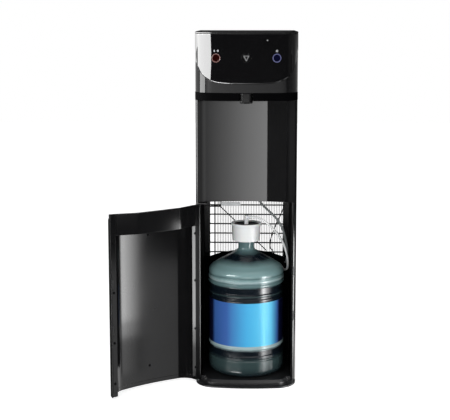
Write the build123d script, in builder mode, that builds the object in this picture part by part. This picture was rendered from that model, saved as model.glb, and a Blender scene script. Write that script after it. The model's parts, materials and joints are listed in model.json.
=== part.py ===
"""Bottom-loading water dispenser: cabinet, bowed head, open lower door and the bottle it feeds from.

Millimetres, +Z up, the front faces -Y. The origin lies on the floor under the middle of the cabinet.
"""

import os
from math import pi, radians, sqrt, tan

from build123d import *

os.makedirs("parts", exist_ok=True)

# Cabinet envelope
width = 340.0
height = 1195.0
front_y = -195.0
rear_y = 180.0
bow_radius = 800.0
corner_radius = 70.0
sheet = 1.5
half_width = width / 2

# The bowed front: one large arc that runs into a round corner at each side
bow_centre_y = front_y + bow_radius
corner_x = half_width - corner_radius
corner_y = bow_centre_y - sqrt((bow_radius - corner_radius) ** 2 - corner_x**2)
door_gap = 2.0
frame_front_y = corner_y + door_gap

# Levels above the floor
base_lip = 5.5
bay_floor = 19.0
ledge_bottom = 548.0
ledge_top = 618.0
niche_bottom = 625.0
deck_z = 630.0
niche_top = 971.0
band_top = 997.0
head_top = 1189.0

# Cabinet details
roll_radius = 14.0
return_x = 154.0
rear_opening_x = 133.0
bay_half_width = 154.0
liner_wall = 2.0
deck_sheet = 2.0
niche_y = -95.0
niche_lip_x = 163.0
niche_bend_x = 146.0
bay_wall_y = 116.0
bay_wall_sheet = 3.0
bay_wall_side_z = 378.0
bay_wall_arch_z = 412.0

# Door
door_open = 145.0
skin = 2.5
liner_inset = 18.0
liner_sheet = 2.5
flange_x = 150.0
flange_y = -121.5
skin_bottom = 8.0
rail_bottom = 10.0
rail_top = 24.0
hinge_x = -163.0
hinge_y = corner_y - 8.0
hinge_pin_radius = 2.0
upper_pin_reach = 14.0
lower_pin_sunk = 4.0
running_fit = 0.06
screw_levels = (55.0, 192.0, 360.0, 522.0)
screw_centre_levels = (74.0, 524.0)
screw_x = 159.0
magnet_levels = (234.0, 387.0)
magnet_x = 162.0
magnet_width = 4.6
magnet_height = 29.6
ledge_flat_x = 80.0
scoop_depth = 20.0
scoop_top = ledge_top - scoop_depth
hinge_flange_x = 138.0
hinge_screw_x = 150.0

# Drip tray
tray_width = 220.0
tray_depth = 60.0
tray_y = -150.0
tray_height = 34.0
tray_gap = 0.4
tray_corner = 8.0
grille_corner = 12.2
slot_count = 21
slot_pitch = 9.0

# Head and controls
head_inset = 1.5
head_wall = 4.0
fascia = 3.0
fascia_bottom = 1026.5
fascia_side = [
    (-171.0, 1160.0),
    (-167.5, 1125.0),
    (-159.2, 1085.5),
    (-144.0, 1056.7),
    (-119.1, 1038.2),
    (-79.4, 1028.5),
]
button_level = 1110.0
button_x = 98.8
button_radius = 11.5
button_gap = 0.4
ring_outer = 14.0
dispense_radius = 15.0
status_x = 68.0
status_level = 1167.0
status_radius = 1.5
board_y = -170.0
board_sheet = 1.6

# Rear fittings
rocker_places = (-100.0, -60.0)
rocker_level = 1120.0
rocker_width = 17.0
trunnion_length = 21.0
drain_x = 110.0
gland_x = -110.0
fitting_level = 660.0
drain_stem = 8.0
gland_stem = 7.0

# Bottle and its suction line
bottle_y = -20.0
bottle_radius = 131.5
bottle_neck = 27.5
bottle_top = 498.0
bottle_shoulder = 384.0
bottle_neck_start = 446.0
label_bottom = 131.0
label_top = 282.0
water_level = 400.0
hose_radius = 4.0
cable_radius = 2.0

# Condenser on the open back
tube_radius = 2.5
wire_radius = 0.8
condenser_y = 186.0
run_pitch = 35.0
run_lowest = 248.0
run_count = 11
run_half = 128.0
wire_first_x = -108.0
wire_pitch = 6.0
wire_count = 41


def write(part, name):
    """Labels one finished piece and writes it as its own file."""
    part.label = name
    export_step(part, f"parts/{name}.step")


def bowed_plan(inset, back_y):
    """Face of the cabinet's plan, drawn in by inset: straight sides, round corners, bowed front."""
    half = half_width - inset
    reach = Vector(corner_x, corner_y - bow_centre_y).normalized() * (bow_radius - inset)
    join_y = bow_centre_y + reach.Y
    with BuildSketch() as plan:
        with BuildLine():
            if back_y > corner_y:
                Line((-half, back_y), (-half, corner_y))
                Line((half, corner_y), (half, back_y))
            TangentArc((-half, corner_y), (-reach.X, join_y), tangent=(0, -1))
            ThreePointArc((-reach.X, join_y), (0, front_y + inset), (reach.X, join_y))
            TangentArc((half, corner_y), (reach.X, join_y), tangent=(0, -1))
            Line((-half, back_y), (half, back_y))
        make_face()
    return plan.sketch


def bow_y(x, inset=0.0):
    """Depth of the bowed front at a sideways position on its large arc."""
    return bow_centre_y - sqrt((bow_radius - inset) ** 2 - x**2)


def front_plane(x, z, inset=0.0):
    """Plane that lies on the bowed front at a point, facing outwards."""
    y = bow_y(x, inset)
    return Plane(origin=(x, y, z), x_dir=(bow_centre_y - y, x, 0), z_dir=(x, y - bow_centre_y, 0))


def corner_radii(points):
    """Largest arcs that the runs of a limp line leave room for, one for each inner point."""
    radii = []
    for before, here, after in zip(points, points[1:], points[2:]):
        run_in = Vector(here) - Vector(before)
        run_out = Vector(after) - Vector(here)
        turn = radians(run_in.get_angle(run_out))
        radii.append(0.45 * min(run_in.length, run_out.length) / tan(turn / 2))
    return radii


def tube_along(points, radii, radius, name):
    """Solid round tube along straight runs joined by tangent arcs."""
    with BuildPart() as tube:
        with BuildLine():
            route = FilletPolyline(*points, radius=radii)
        with BuildSketch(Plane(origin=route @ 0, z_dir=route % 0)):
            Circle(radius)
        sweep()
    length = route.length
    share = tube.part.volume / (pi * radius**2 * length)
    print(f"{name}: length {length:.0f}, least bend {min(radii):.0f}, volume share {share:.4f}")
    return tube.part


# Cabinet carcass
with BuildPart() as base_pan:
    with BuildSketch():
        add(bowed_plan(0, rear_y))
    extrude(amount=base_lip)
    platform_inset = 24.0
    platform_half = bay_half_width - 1.0
    with BuildSketch(Plane.XY.offset(base_lip)) as platform:
        add(bowed_plan(platform_inset, corner_y))
        with Locations((0, (corner_y + bay_wall_y) / 2)):
            Rectangle(2 * platform_half, bay_wall_y - corner_y)
        fillet(platform.vertices().group_by(Axis.Y)[-1], 6)
    extrude(amount=bay_floor - base_lip)
    apron = base_pan.edges().filter_by_position(Axis.Z, bay_floor, bay_floor).group_by(Axis.Y)[0]
    chamfer(apron, 9)
    ring_groove_inner = 100.0
    ring_groove_outer = 108.0
    with BuildSketch(Plane.XY.offset(bay_floor)):
        with Locations((0, bottle_y)):
            Circle(ring_groove_outer)
            Circle(ring_groove_inner, mode=Mode.SUBTRACT)
    extrude(amount=-1.0, mode=Mode.SUBTRACT)
    with Locations((hinge_x, hinge_y, base_lip)):
        Hole(hinge_pin_radius + running_fit, depth=lower_pin_sunk)
write(base_pan.part, "base_pan")

with BuildPart() as left_side_panel:
    with BuildSketch(Plane.XY.offset(base_lip)):
        with BuildLine():
            FilletPolyline(
                (-rear_opening_x, rear_y),
                (-half_width, rear_y),
                (-half_width, frame_front_y),
                (-return_x, frame_front_y),
                radius=[3, roll_radius],
            )
            offset(amount=sheet, side=Side.LEFT)
        make_face()
    extrude(amount=head_top - base_lip)
right_side_panel = mirror(left_side_panel.part, about=Plane.YZ)
write(left_side_panel.part, "left_side_panel")
write(right_side_panel, "right_side_panel")

liner_front_y = frame_front_y + sheet
liner_centre_x = bay_half_width + liner_wall / 2
with BuildPart() as left_bay_liner:
    with BuildSketch(Plane.XY.offset(base_lip)):
        with Locations((-liner_centre_x, (liner_front_y + rear_y - sheet) / 2)):
            Rectangle(liner_wall, rear_y - sheet - liner_front_y)
    extrude(amount=deck_z - base_lip)
    rib_count = 3
    rib_pitch = 70.0
    rib_length = 420.0
    rib_width = 8.0
    with BuildSketch(Plane.YZ.offset(-bay_half_width - liner_wall)):
        with Locations((20, 330)):
            with GridLocations(rib_pitch, 0, rib_count, 1):
                SlotOverall(rib_length, rib_width, rotation=90)
    extrude(amount=-1.2)
write(left_bay_liner.part, "left_bay_liner")
write(mirror(left_bay_liner.part, about=Plane.YZ), "right_bay_liner")

hose_port = (126.0, 345.0)
riser_port = (141.0, 366.0)
port_gap = 2.0
with BuildPart() as bay_rear_wall:
    wall_half = bay_half_width - 0.5
    with BuildSketch(Plane.XZ.offset(-bay_wall_y)):
        with BuildLine():
            Polyline(
                (-wall_half, bay_wall_side_z),
                (-wall_half, base_lip),
                (wall_half, base_lip),
                (wall_half, bay_wall_side_z),
            )
            ThreePointArc(
                (-wall_half, bay_wall_side_z), (0, bay_wall_arch_z), (wall_half, bay_wall_side_z)
            )
        make_face()
        with Locations(hose_port, riser_port):
            Circle(hose_radius + port_gap, mode=Mode.SUBTRACT)
    extrude(amount=-bay_wall_sheet)
write(bay_rear_wall.part, "bay_rear_wall")

riser_top = (34.0, 70.0)
cable_top = (138.0, 100.0)
capillary_top = (-100.0, 140.0)
with BuildPart() as mid_deck:
    deck_front_y = niche_y + 4
    deck_rear_y = rear_y - 4
    with BuildSketch(Plane.XY.offset(deck_z)):
        with Locations((0, (deck_front_y + deck_rear_y) / 2)):
            Rectangle(2 * (half_width - sheet), deck_rear_y - deck_front_y)
        with Locations(riser_top):
            Circle(hose_radius + 0.5, mode=Mode.SUBTRACT)
        with Locations(cable_top):
            Circle(cable_radius + 0.5, mode=Mode.SUBTRACT)
        with Locations(capillary_top):
            Circle(tube_radius + 0.5, mode=Mode.SUBTRACT)
    extrude(amount=deck_sheet)
    with BuildSketch(Plane.XY.offset(deck_z)):
        with Locations((0, deck_front_y + sheet / 2)):
            Rectangle(2 * bay_half_width - 2, sheet)
    extrude(amount=30)
write(mid_deck.part, "mid_deck")

with BuildPart() as niche_panel:
    niche_sheet = 2.4
    lip_y = frame_front_y - niche_sheet / 2
    with BuildSketch(Plane.XY.offset(niche_bottom)):
        with BuildLine():
            Line((-niche_lip_x, lip_y), (-niche_bend_x, lip_y))
            ThreePointArc((-niche_bend_x, lip_y), (0, niche_y), (niche_bend_x, lip_y))
            Line((niche_bend_x, lip_y), (niche_lip_x, lip_y))
        trace(line_width=niche_sheet)
    extrude(amount=niche_top - niche_bottom)
write(niche_panel.part, "niche_panel")

with BuildPart() as rear_upper_cover:
    cover_bottom = 640.0
    cover_sheet = 1.5
    with BuildSketch(Plane.XZ.offset(-rear_y)):
        with Locations((0, (cover_bottom + head_top) / 2)):
            RectangleRounded(2 * half_width - 6, head_top - cover_bottom - 2, 4)
        with Locations((0, 730)):
            with GridLocations(70, 12, 4, 9):
                SlotOverall(56, 5, mode=Mode.SUBTRACT)
        with Locations(*[(x, rocker_level) for x in rocker_places]):
            Rectangle(19, 13, mode=Mode.SUBTRACT)
        with Locations((drain_x, fitting_level)):
            Circle(drain_stem + 0.2, mode=Mode.SUBTRACT)
        with Locations((gland_x, fitting_level)):
            Circle(gland_stem + 0.2, mode=Mode.SUBTRACT)
        cover_screw_x = 152.0
        cover_screw_levels = (700.0, 920.0, 1150.0)
        with Locations(*[(side * cover_screw_x, level) for side in (-1, 1) for level in cover_screw_levels]):
            Circle(2.2, mode=Mode.SUBTRACT)
    extrude(amount=-cover_sheet)
write(rear_upper_cover.part, "rear_upper_cover")

with BuildPart() as top_cover:
    with BuildSketch(Plane.XY.offset(head_top)):
        add(bowed_plan(0, rear_y + 3))
    extrude(amount=height - head_top)
    fillet(top_cover.edges().group_by(Axis.Z)[-1], 3)
    with BuildSketch(Plane.XY.offset(head_top)):
        add(bowed_plan(8, rear_y - 6))
    extrude(amount=3, mode=Mode.SUBTRACT)
write(top_cover.part, "top_cover")

# Head with its controls
with BuildPart() as head_shell:
    with BuildSketch(Plane.XY.offset(band_top)):
        add(bowed_plan(head_inset, corner_y))
        add(bowed_plan(head_inset + head_wall, corner_y), mode=Mode.SUBTRACT)
    extrude(amount=head_top - band_top)
    board_post_radius = 4.0
    with BuildSketch(Plane.XZ.offset(-board_y + board_sheet)):
        with Locations((0, button_level)):
            with GridLocations(130, 40, 2, 2):
                Circle(board_post_radius)
    extrude(until=Until.NEXT)
    for button_plane, hole_radius in (
        (front_plane(-button_x, button_level), button_radius + button_gap),
        (front_plane(button_x, button_level), button_radius + button_gap),
        (front_plane(0, button_level), dispense_radius + button_gap),
    ):
        with BuildSketch(button_plane):
            Circle(hole_radius)
        extrude(amount=-20, mode=Mode.SUBTRACT)


def fascia_blank(depth, spread):
    """Bowed layer of the head's front, cut to the U of the control panel and grown by spread."""
    growth = 1 + spread / (head_top - fascia_bottom)
    left = [(x * growth, head_top - (head_top - z) * growth) for x, z in fascia_side]
    lowest = head_top - (head_top - fascia_bottom) * growth
    right = [(-x, z) for x, z in reversed(left)]
    shoulder = (left[0][0], head_top + 1)
    with BuildPart() as blank:
        with BuildSketch(Plane.XY.offset(lowest)):
            add(bowed_plan(0, corner_y))
            add(bowed_plan(depth, corner_y), mode=Mode.SUBTRACT)
        extrude(amount=head_top - lowest)
        with BuildSketch(Plane.XZ.offset(-corner_y)):
            with BuildLine():
                Line(shoulder, left[0])
                Spline(*left, (0, lowest), *right, tangents=[(0, -1), (0, 1)])
                Line(right[-1], (-shoulder[0], shoulder[1]))
                Line((-shoulder[0], shoulder[1]), shoulder)
            make_face()
        extrude(amount=corner_y - front_y + 10, mode=Mode.INTERSECT)
    return blank.part


seat_depth_gap = 0.2
seat_edge_gap = 0.4
fascia_seat = fascia_blank(fascia + seat_depth_gap, seat_edge_gap)
with BuildPart() as control_fascia:
    add(fascia_blank(fascia, 0))
    for button_plane, hole_radius in (
        (front_plane(-button_x, button_level), ring_outer + 0.1),
        (front_plane(button_x, button_level), ring_outer + 0.1),
        (front_plane(0, button_level), dispense_radius + button_gap),
        (front_plane(status_x, status_level), status_radius + 0.1),
    ):
        with BuildSketch(button_plane):
            Circle(hole_radius)
        extrude(amount=-10, both=True, mode=Mode.SUBTRACT)
with BuildPart() as seated_shell:
    add(head_shell.part)
    add(fascia_seat, mode=Mode.SUBTRACT)
write(seated_shell.part, "head_shell")
write(control_fascia.part, "control_fascia")


def ring_lens(x):
    """Light guide round a button, flush with the fascia."""
    with BuildPart() as lens:
        with BuildSketch(front_plane(x, button_level, 0.2)):
            Circle(ring_outer)
            Circle(button_radius + button_gap, mode=Mode.SUBTRACT)
        extrude(amount=-fascia + 0.4)
    return lens.part


def push_button(x, radius, proud):
    """Cap, collar behind the shell and stem down to its switch."""
    surface = front_plane(x, button_level)
    collar_gap = 0.3
    collar_sheet = 1.6
    stem_radius = 2.5
    switch_room = 3.2
    collar_front = head_inset + head_wall + collar_gap
    collar_back = collar_front + collar_sheet
    with BuildPart() as button:
        with BuildSketch(surface.offset(proud)):
            Circle(radius)
        extrude(amount=-(collar_front + proud))
        fillet(button.edges().filter_by(GeomType.CIRCLE).sort_by(Axis.Y)[0], 0.6)
        with BuildSketch(surface.offset(-collar_front)):
            Circle(radius + 2)
        extrude(amount=-collar_sheet)
        with BuildSketch(surface.offset(-collar_back)):
            Circle(stem_radius)
        extrude(amount=-(abs(board_y - bow_y(x)) - collar_back - switch_room))
    return button.part


write(ring_lens(-button_x), "hot_ring_lens")
write(ring_lens(button_x), "cold_ring_lens")
write(push_button(-button_x, button_radius, 0.5), "hot_button")
write(push_button(button_x, button_radius, 0.5), "cold_button")
write(push_button(0, dispense_radius, 0.2), "dispense_button")

with BuildPart() as status_lens:
    with BuildSketch(front_plane(status_x, status_level, 0.1)):
        Circle(status_radius)
    extrude(amount=-fascia)
write(status_lens.part, "status_lens")

with BuildPart() as control_board:
    with BuildSketch(Plane.XZ.offset(-board_y)):
        with Locations((0, button_level)):
            RectangleRounded(230, 56, 3)
    extrude(amount=board_sheet)
    with BuildSketch(Plane.XZ.offset(-board_y)):
        with Locations((0, button_level)):
            with GridLocations(60, 26, 3, 2):
                Rectangle(26, 14)
    extrude(amount=-8)
write(control_board.part, "control_board")

spout_width = 42.0
spout_front_y = -194.0
spout_back_y = -140.0
spout_gap = 0.4
with BuildPart() as head_band:
    with BuildSketch(Plane.XY.offset(niche_top)):
        add(bowed_plan(0, corner_y))
        add(bowed_plan(head_wall, corner_y), mode=Mode.SUBTRACT)
    extrude(amount=band_top - niche_top)
    with BuildSketch(Plane.XY.offset(niche_top)):
        add(bowed_plan(0, corner_y))
        with Locations((0, (corner_y + niche_y) / 2 + 2)):
            Rectangle(2 * return_x - 4, niche_y - corner_y + 4)
    extrude(amount=3)
    with BuildSketch(Plane.XY.offset(niche_top)):
        with Locations((0, (front_y - 5 + spout_back_y) / 2)):
            Rectangle(spout_width + 2 * spout_gap, spout_back_y - front_y + 5 + 2 * spout_gap)
    extrude(amount=band_top - niche_top, mode=Mode.SUBTRACT)
write(head_band.part, "head_band")

with BuildPart() as spout:
    spout_bottom = 962.0
    with BuildSketch(Plane.XY.offset(spout_bottom)):
        with Locations((0, (spout_front_y + spout_back_y) / 2)):
            RectangleRounded(spout_width, spout_back_y - spout_front_y, 13)
    extrude(amount=band_top - spout_bottom - 1)
    fillet(spout.edges().group_by(Axis.Z)[0], 5)
    with BuildSketch(Plane.XY.offset(niche_top + 3)):
        with Locations((0, spout_back_y - 10)):
            Rectangle(spout_width + 14, 28)
    extrude(amount=3)
    nozzle_x = 9.0
    nozzle_y = -168.0
    with BuildSketch(Plane.XY.offset(spout_bottom)):
        with Locations((-nozzle_x, nozzle_y), (nozzle_x, nozzle_y)):
            Circle(5)
    extrude(amount=16, mode=Mode.SUBTRACT)
write(spout.part, "spout")

# Water system in the upper bay
tank_floor = deck_z + deck_sheet
cold_place = (-62.0, 40.0)
hot_place = (88.0, 60.0)
tank_wall = 1.2
tank_outlet_radius = 3.0


def dished_tank(place, bottom, top, radius, dish):
    """Solid of a drawn tank with rounded ends."""
    with BuildPart() as tank:
        with BuildSketch(Plane.XY.offset(bottom)):
            with Locations(place):
                Circle(radius)
        extrude(amount=top - bottom)
        fillet(tank.edges().filter_by(GeomType.CIRCLE), dish)
    return tank.part


def hollow_tank(place, bottom, top, radius, dish):
    """Drawn steel tank: one thin shell with an outlet in its top."""
    with BuildPart() as tank:
        add(dished_tank(place, bottom, top, radius, dish))
        add(
            dished_tank(place, bottom + tank_wall, top - tank_wall, radius - tank_wall, dish - tank_wall),
            mode=Mode.SUBTRACT,
        )
        with Locations((*place, top)):
            Hole(tank_outlet_radius, depth=2 * tank_wall)
    return tank.part


foam = 25.0
jacket_width = 184.0
jacket_height = 270.0
cold_top = tank_floor + jacket_height - foam
hot_top = tank_floor + 190.0
cold_tank_size = (cold_place, tank_floor + foam, cold_top, 70, 22)
with BuildPart() as cold_tank_jacket:
    with BuildSketch(Plane.XY.offset(tank_floor)):
        with Locations(cold_place):
            RectangleRounded(jacket_width, jacket_width, 40)
    extrude(amount=jacket_height)
    with Locations((*cold_place, tank_floor + jacket_height)):
        Hole(9, depth=30)
    add(dished_tank(*cold_tank_size), mode=Mode.SUBTRACT)
write(hollow_tank(*cold_tank_size), "cold_tank")
write(cold_tank_jacket.part, "cold_tank_jacket")
write(hollow_tank(hot_place, tank_floor, hot_top, 52, 18), "hot_tank")

with BuildPart() as spout_valves:
    valve_z = niche_top + 3
    valve_x = 30.0
    valve_y = -112.0
    valve_depth = 26.0
    valve_body = 30.0
    for side in (-1, 1):
        with BuildSketch(Plane.XY.offset(valve_z)):
            with Locations((side * valve_x, valve_y)):
                RectangleRounded(34, valve_depth, 4)
        extrude(amount=valve_body)
        with BuildSketch(Plane.XY.offset(valve_z + valve_body)):
            with Locations((side * valve_x, valve_y)):
                Circle(11)
        extrude(amount=22)
write(spout_valves.part, "spout_valves")

outlet_level = valve_z + valve_body / 2
outlet_radius = 4.0
outlet_end_y = valve_y + valve_depth / 2
cold_outlet = [
    (*cold_place, cold_top),
    (*cold_place, outlet_level - 40),
    (-valve_x, cold_place[1] - 30, outlet_level),
    (-valve_x, outlet_end_y, outlet_level),
]
hot_outlet = [
    (*hot_place, hot_top),
    (*hot_place, outlet_level - 60),
    (valve_x, hot_place[1] - 40, outlet_level),
    (valve_x, outlet_end_y, outlet_level),
]
with BuildPart() as outlet_tubes:
    add(tube_along(cold_outlet, [20, 20], outlet_radius, "cold outlet"))
    add(tube_along(hot_outlet, [20, 20], outlet_radius, "hot outlet"))
write(outlet_tubes.part, "outlet_tubes")

# Refrigeration on the open back
compressor_place = (-55.0, 152.0)
compressor_foot = 12.0
compressor_shell = 130.0
compressor_top = base_lip + compressor_foot + compressor_shell
with BuildPart() as compressor:
    with BuildSketch(Plane.XY.offset(base_lip + compressor_foot)):
        with Locations(compressor_place):
            SlotOverall(128, 62)
    extrude(amount=compressor_shell)
    fillet(compressor.edges().group_by(Axis.Z)[-1], 20)
    fillet(compressor.edges().group_by(Axis.Z)[0], 10)
    with BuildSketch(Plane.XY.offset(base_lip + compressor_foot)):
        with Locations(compressor_place):
            RectangleRounded(150, 40, 8)
    extrude(amount=4)
    with BuildSketch(Plane.XY.offset(base_lip)):
        with Locations(compressor_place):
            with GridLocations(132, 22, 2, 2):
                Circle(7)
    extrude(amount=compressor_foot)
    with BuildSketch(Plane.XZ.offset(-compressor_place[1])):
        with Locations((compressor_place[0] + 74, 70)):
            RectangleRounded(30, 56, 6)
    extrude(amount=18, both=True)
write(compressor.part, "compressor")

# Serpentine of the condenser: straight runs joined by half-circle bends at alternate ends
run_levels = [run_lowest + run_pitch * index for index in range(run_count)]
with BuildPart() as condenser_tube:
    with BuildLine() as serpentine:
        side = 1
        for index, level in enumerate(run_levels):
            Line((-side * run_half, condenser_y, level), (side * run_half, condenser_y, level))
            if index < run_count - 1:
                ThreePointArc(
                    (side * run_half, condenser_y, level),
                    (side * (run_half + run_pitch / 2), condenser_y, level + run_pitch / 2),
                    (side * run_half, condenser_y, level + run_pitch),
                )
            side = -side
    with BuildSketch(Plane.YZ.offset(-run_half)):
        with Locations((condenser_y, run_lowest)):
            Circle(tube_radius)
    sweep()
serpentine_length = sum(edge.length for edge in serpentine.edges())
print(f"condenser: {serpentine_length:.0f} mm of tube, {condenser_tube.part.volume:.0f} mm3")
write(condenser_tube.part, "condenser_tube")

with BuildPart() as condenser_wires:
    wire_offset = tube_radius + wire_radius - 0.25
    wire_overhang = 12.0
    with BuildSketch(Plane.XY.offset(run_lowest - wire_overhang)):
        with Locations((wire_first_x + wire_pitch * (wire_count - 1) / 2, condenser_y)):
            with GridLocations(wire_pitch, 2 * wire_offset, wire_count, 2):
                Circle(wire_radius)
    extrude(amount=run_pitch * (run_count - 1) + 2 * wire_overhang)
write(condenser_wires.part, "condenser_wires")

with BuildPart() as condenser_clips:
    clip_z = (run_levels[1], run_levels[-2])
    for level in clip_z:
        for side in (-1, 1):
            with BuildSketch(Plane.XZ.offset(-rear_y)):
                with Locations((side * (run_half + 12), level)):
                    RectangleRounded(14, 16, 3)
            extrude(amount=-(condenser_y - tube_radius - 0.3 - rear_y))
write(condenser_clips.part, "condenser_clips")

line_y = condenser_y - 2 * tube_radius - 1.2
discharge_x = -116.0
discharge_points = [
    (-70, compressor_place[1], compressor_top),
    (-70, compressor_place[1], 170),
    (-90, 160, 192),
    (discharge_x, line_y - 6, 210),
    (discharge_x, line_y, 236),
    (discharge_x, line_y, run_levels[-1]),
]
write(tube_along(discharge_points, [14, 14, 14, 40], tube_radius, "discharge line"), "discharge_line")

dryer_x = 72.0
dryer_y = 140.0
dryer_bottom = 300.0
dryer_length = 76.0
with BuildPart() as filter_dryer:
    with BuildSketch(Plane.XY.offset(dryer_bottom)):
        with Locations((dryer_x, dryer_y)):
            Circle(9)
    extrude(amount=dryer_length)
    fillet(filter_dryer.edges().filter_by(GeomType.CIRCLE), 5)
    clamp_back_y = dryer_y - 4
    clamp_front_y = bay_wall_y + bay_wall_sheet
    with BuildSketch(Plane.XY.offset(dryer_bottom + 30)):
        with Locations((dryer_x, (clamp_back_y + clamp_front_y) / 2)):
            Rectangle(10, clamp_back_y - clamp_front_y)
    extrude(amount=14)
write(filter_dryer.part, "filter_dryer")

capillary_points = [
    (*capillary_top, 650),
    (*capillary_top, 570),
    (dryer_x, dryer_y, 404),
    (dryer_x, dryer_y, dryer_bottom + dryer_length),
]
write(tube_along(capillary_points, [14, 12], 1.8, "capillary line"), "capillary_line")

pump_place = (114.0, 148.0)
pump_bottom = 215.0
pump_motor = 62.0
with BuildPart() as water_pump:
    with BuildSketch(Plane.XY.offset(pump_bottom)):
        with Locations(pump_place):
            Circle(20)
    extrude(amount=pump_motor)
    with BuildSketch(Plane.XY.offset(pump_bottom + pump_motor)):
        with Locations(pump_place):
            RectangleRounded(54, 50, 8)
    extrude(amount=34)
    chamfer(water_pump.edges().group_by(Axis.Z)[-1], 3)
    with BuildSketch(Plane.XZ.offset(-(bay_wall_y + bay_wall_sheet))):
        with Locations((pump_place[0], pump_bottom + 35)):
            RectangleRounded(48, 60, 4)
    extrude(amount=-14)
write(water_pump.part, "water_pump")

# Hinges, catches and small hardware
upper_pin_top = 623.5
upper_pin_plate = 3.0
with BuildPart() as upper_hinge_bracket:
    arm_z = upper_pin_top - upper_pin_plate
    arm_half = 6.0
    arm_end_x = -134.0
    tail_x = -143.0
    tail_width = 2 * (arm_end_x - tail_x)
    tail_end_y = -60.0
    with BuildSketch(Plane.XY.offset(arm_z)):
        with Locations((hinge_x, hinge_y)):
            Circle(arm_half)
        with Locations(((hinge_x + arm_end_x) / 2, hinge_y)):
            Rectangle(arm_end_x - hinge_x, 2 * arm_half)
        with Locations((tail_x, (hinge_y + tail_end_y) / 2)):
            Rectangle(tail_width, tail_end_y - hinge_y)
    extrude(amount=upper_pin_plate)
    with BuildSketch(Plane.XY.offset(arm_z)):
        with Locations((tail_x, tail_end_y - 10)):
            Rectangle(tail_width, 20)
    extrude(amount=deck_z - arm_z)
    with BuildSketch(Plane.XY.offset(arm_z)):
        with Locations((hinge_x, hinge_y)):
            Circle(hinge_pin_radius)
    extrude(amount=-upper_pin_reach)
write(upper_hinge_bracket.part, "upper_hinge_bracket")

with BuildPart() as lower_hinge_pin:
    with BuildSketch(Plane.XY.offset(base_lip - lower_pin_sunk)):
        with Locations((hinge_x, hinge_y)):
            Circle(hinge_pin_radius)
    extrude(amount=20)
    with BuildSketch(Plane.XY.offset(base_lip)):
        with Locations((hinge_x, hinge_y)):
            Circle(5)
    extrude(amount=1.5)
write(lower_hinge_pin.part, "lower_hinge_pin")

# Steel strikes that sit on the rolled right edge and stand up to the door's magnets
strike_height = 30.0
strike_gap = 0.5
with BuildPart() as strike_plates:
    roll_centre = (half_width - roll_radius, frame_front_y + roll_radius)
    strike_front_y = flange_y + strike_gap
    with BuildSketch(*[Plane.XY.offset(level - strike_height / 2) for level in magnet_levels]):
        with Locations((magnet_x, (strike_front_y + roll_centre[1]) / 2)):
            Rectangle(5, roll_centre[1] - strike_front_y)
        with Locations(roll_centre):
            Circle(roll_radius, mode=Mode.SUBTRACT)
    extrude(amount=strike_height)
write(strike_plates.part, "strike_plates")

with BuildPart() as pipe_bracket:
    bracket_x = -92.0
    bracket_z = 571.5
    with BuildSketch(Plane.XZ.offset(-100)):
        with BuildLine():
            Polyline((-bay_half_width, bracket_z), (bracket_x, bracket_z), (bracket_x, deck_z))
        trace(line_width=3)
    extrude(amount=-14)
write(pipe_bracket.part, "pipe_bracket")

with BuildPart() as cross_rail:
    with BuildSketch(Plane.XZ.offset(-104)):
        with Locations((-56, 580)):
            RectangleRounded(69, 13, 2)
    extrude(amount=-4)
write(cross_rail.part, "cross_rail")

with BuildPart() as drain_plug:
    with BuildSketch(Plane.XZ.offset(-rear_y - cover_sheet)):
        with Locations((drain_x, fitting_level)):
            Circle(drain_stem + 4)
    extrude(amount=-9)
    fillet(drain_plug.edges().group_by(Axis.Y)[-1], 2)
    with BuildSketch(Plane.XZ.offset(-rear_y - cover_sheet)):
        with Locations((drain_x, fitting_level)):
            Circle(drain_stem)
    extrude(amount=20)
write(drain_plug.part, "drain_plug")

with BuildPart() as cord_gland:
    with BuildSketch(Plane.XZ.offset(-rear_y - cover_sheet)):
        with Locations((gland_x, fitting_level)):
            Circle(gland_stem + 3)
    extrude(amount=-7)
    fillet(cord_gland.edges().group_by(Axis.Y)[-1], 2)
    with BuildSketch(Plane.XZ.offset(-rear_y - cover_sheet)):
        with Locations((gland_x, fitting_level)):
            Circle(gland_stem)
    extrude(amount=14)
write(cord_gland.part, "cord_gland")


def rocker_switch(x):
    """Rocker with two flat faces that meet at a shallow ridge, on a round trunnion behind the cover."""
    with BuildPart() as rocker:
        with BuildSketch(Plane.YZ.offset(x - rocker_width / 2)):
            with BuildLine():
                Polyline(
                    (rear_y - 6, rocker_level - 4),
                    (rear_y + 2.2, rocker_level - 5.4),
                    (rear_y + 3.2, rocker_level),
                    (rear_y + 2.2, rocker_level + 5.4),
                    (rear_y - 6, rocker_level + 4),
                    close=True,
                )
            make_face()
        extrude(amount=rocker_width)
        with BuildSketch(Plane.YZ.offset(x - trunnion_length / 2)):
            with Locations((rear_y - 4, rocker_level)):
                Circle(1.8)
        extrude(amount=trunnion_length)
    return rocker.part


write(rocker_switch(rocker_places[0]), "heater_switch")
write(rocker_switch(rocker_places[1]), "cooler_switch")

# Bottle with its probe
bottle_axis = Axis((0, bottle_y, 0), (0, 0, 1))
bottle_plane = Plane(origin=(0, bottle_y, 0), x_dir=(1, 0, 0), z_dir=(0, -1, 0))


def groove(low, high, depth):
    """Four points of one moulded groove round the bottle, with sloping sides."""
    inner = bottle_radius - depth
    slope = min(3.0, 0.3 * (high - low))
    return [(bottle_radius, low), (inner, low + slope), (inner, high - slope), (bottle_radius, high)]


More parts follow.
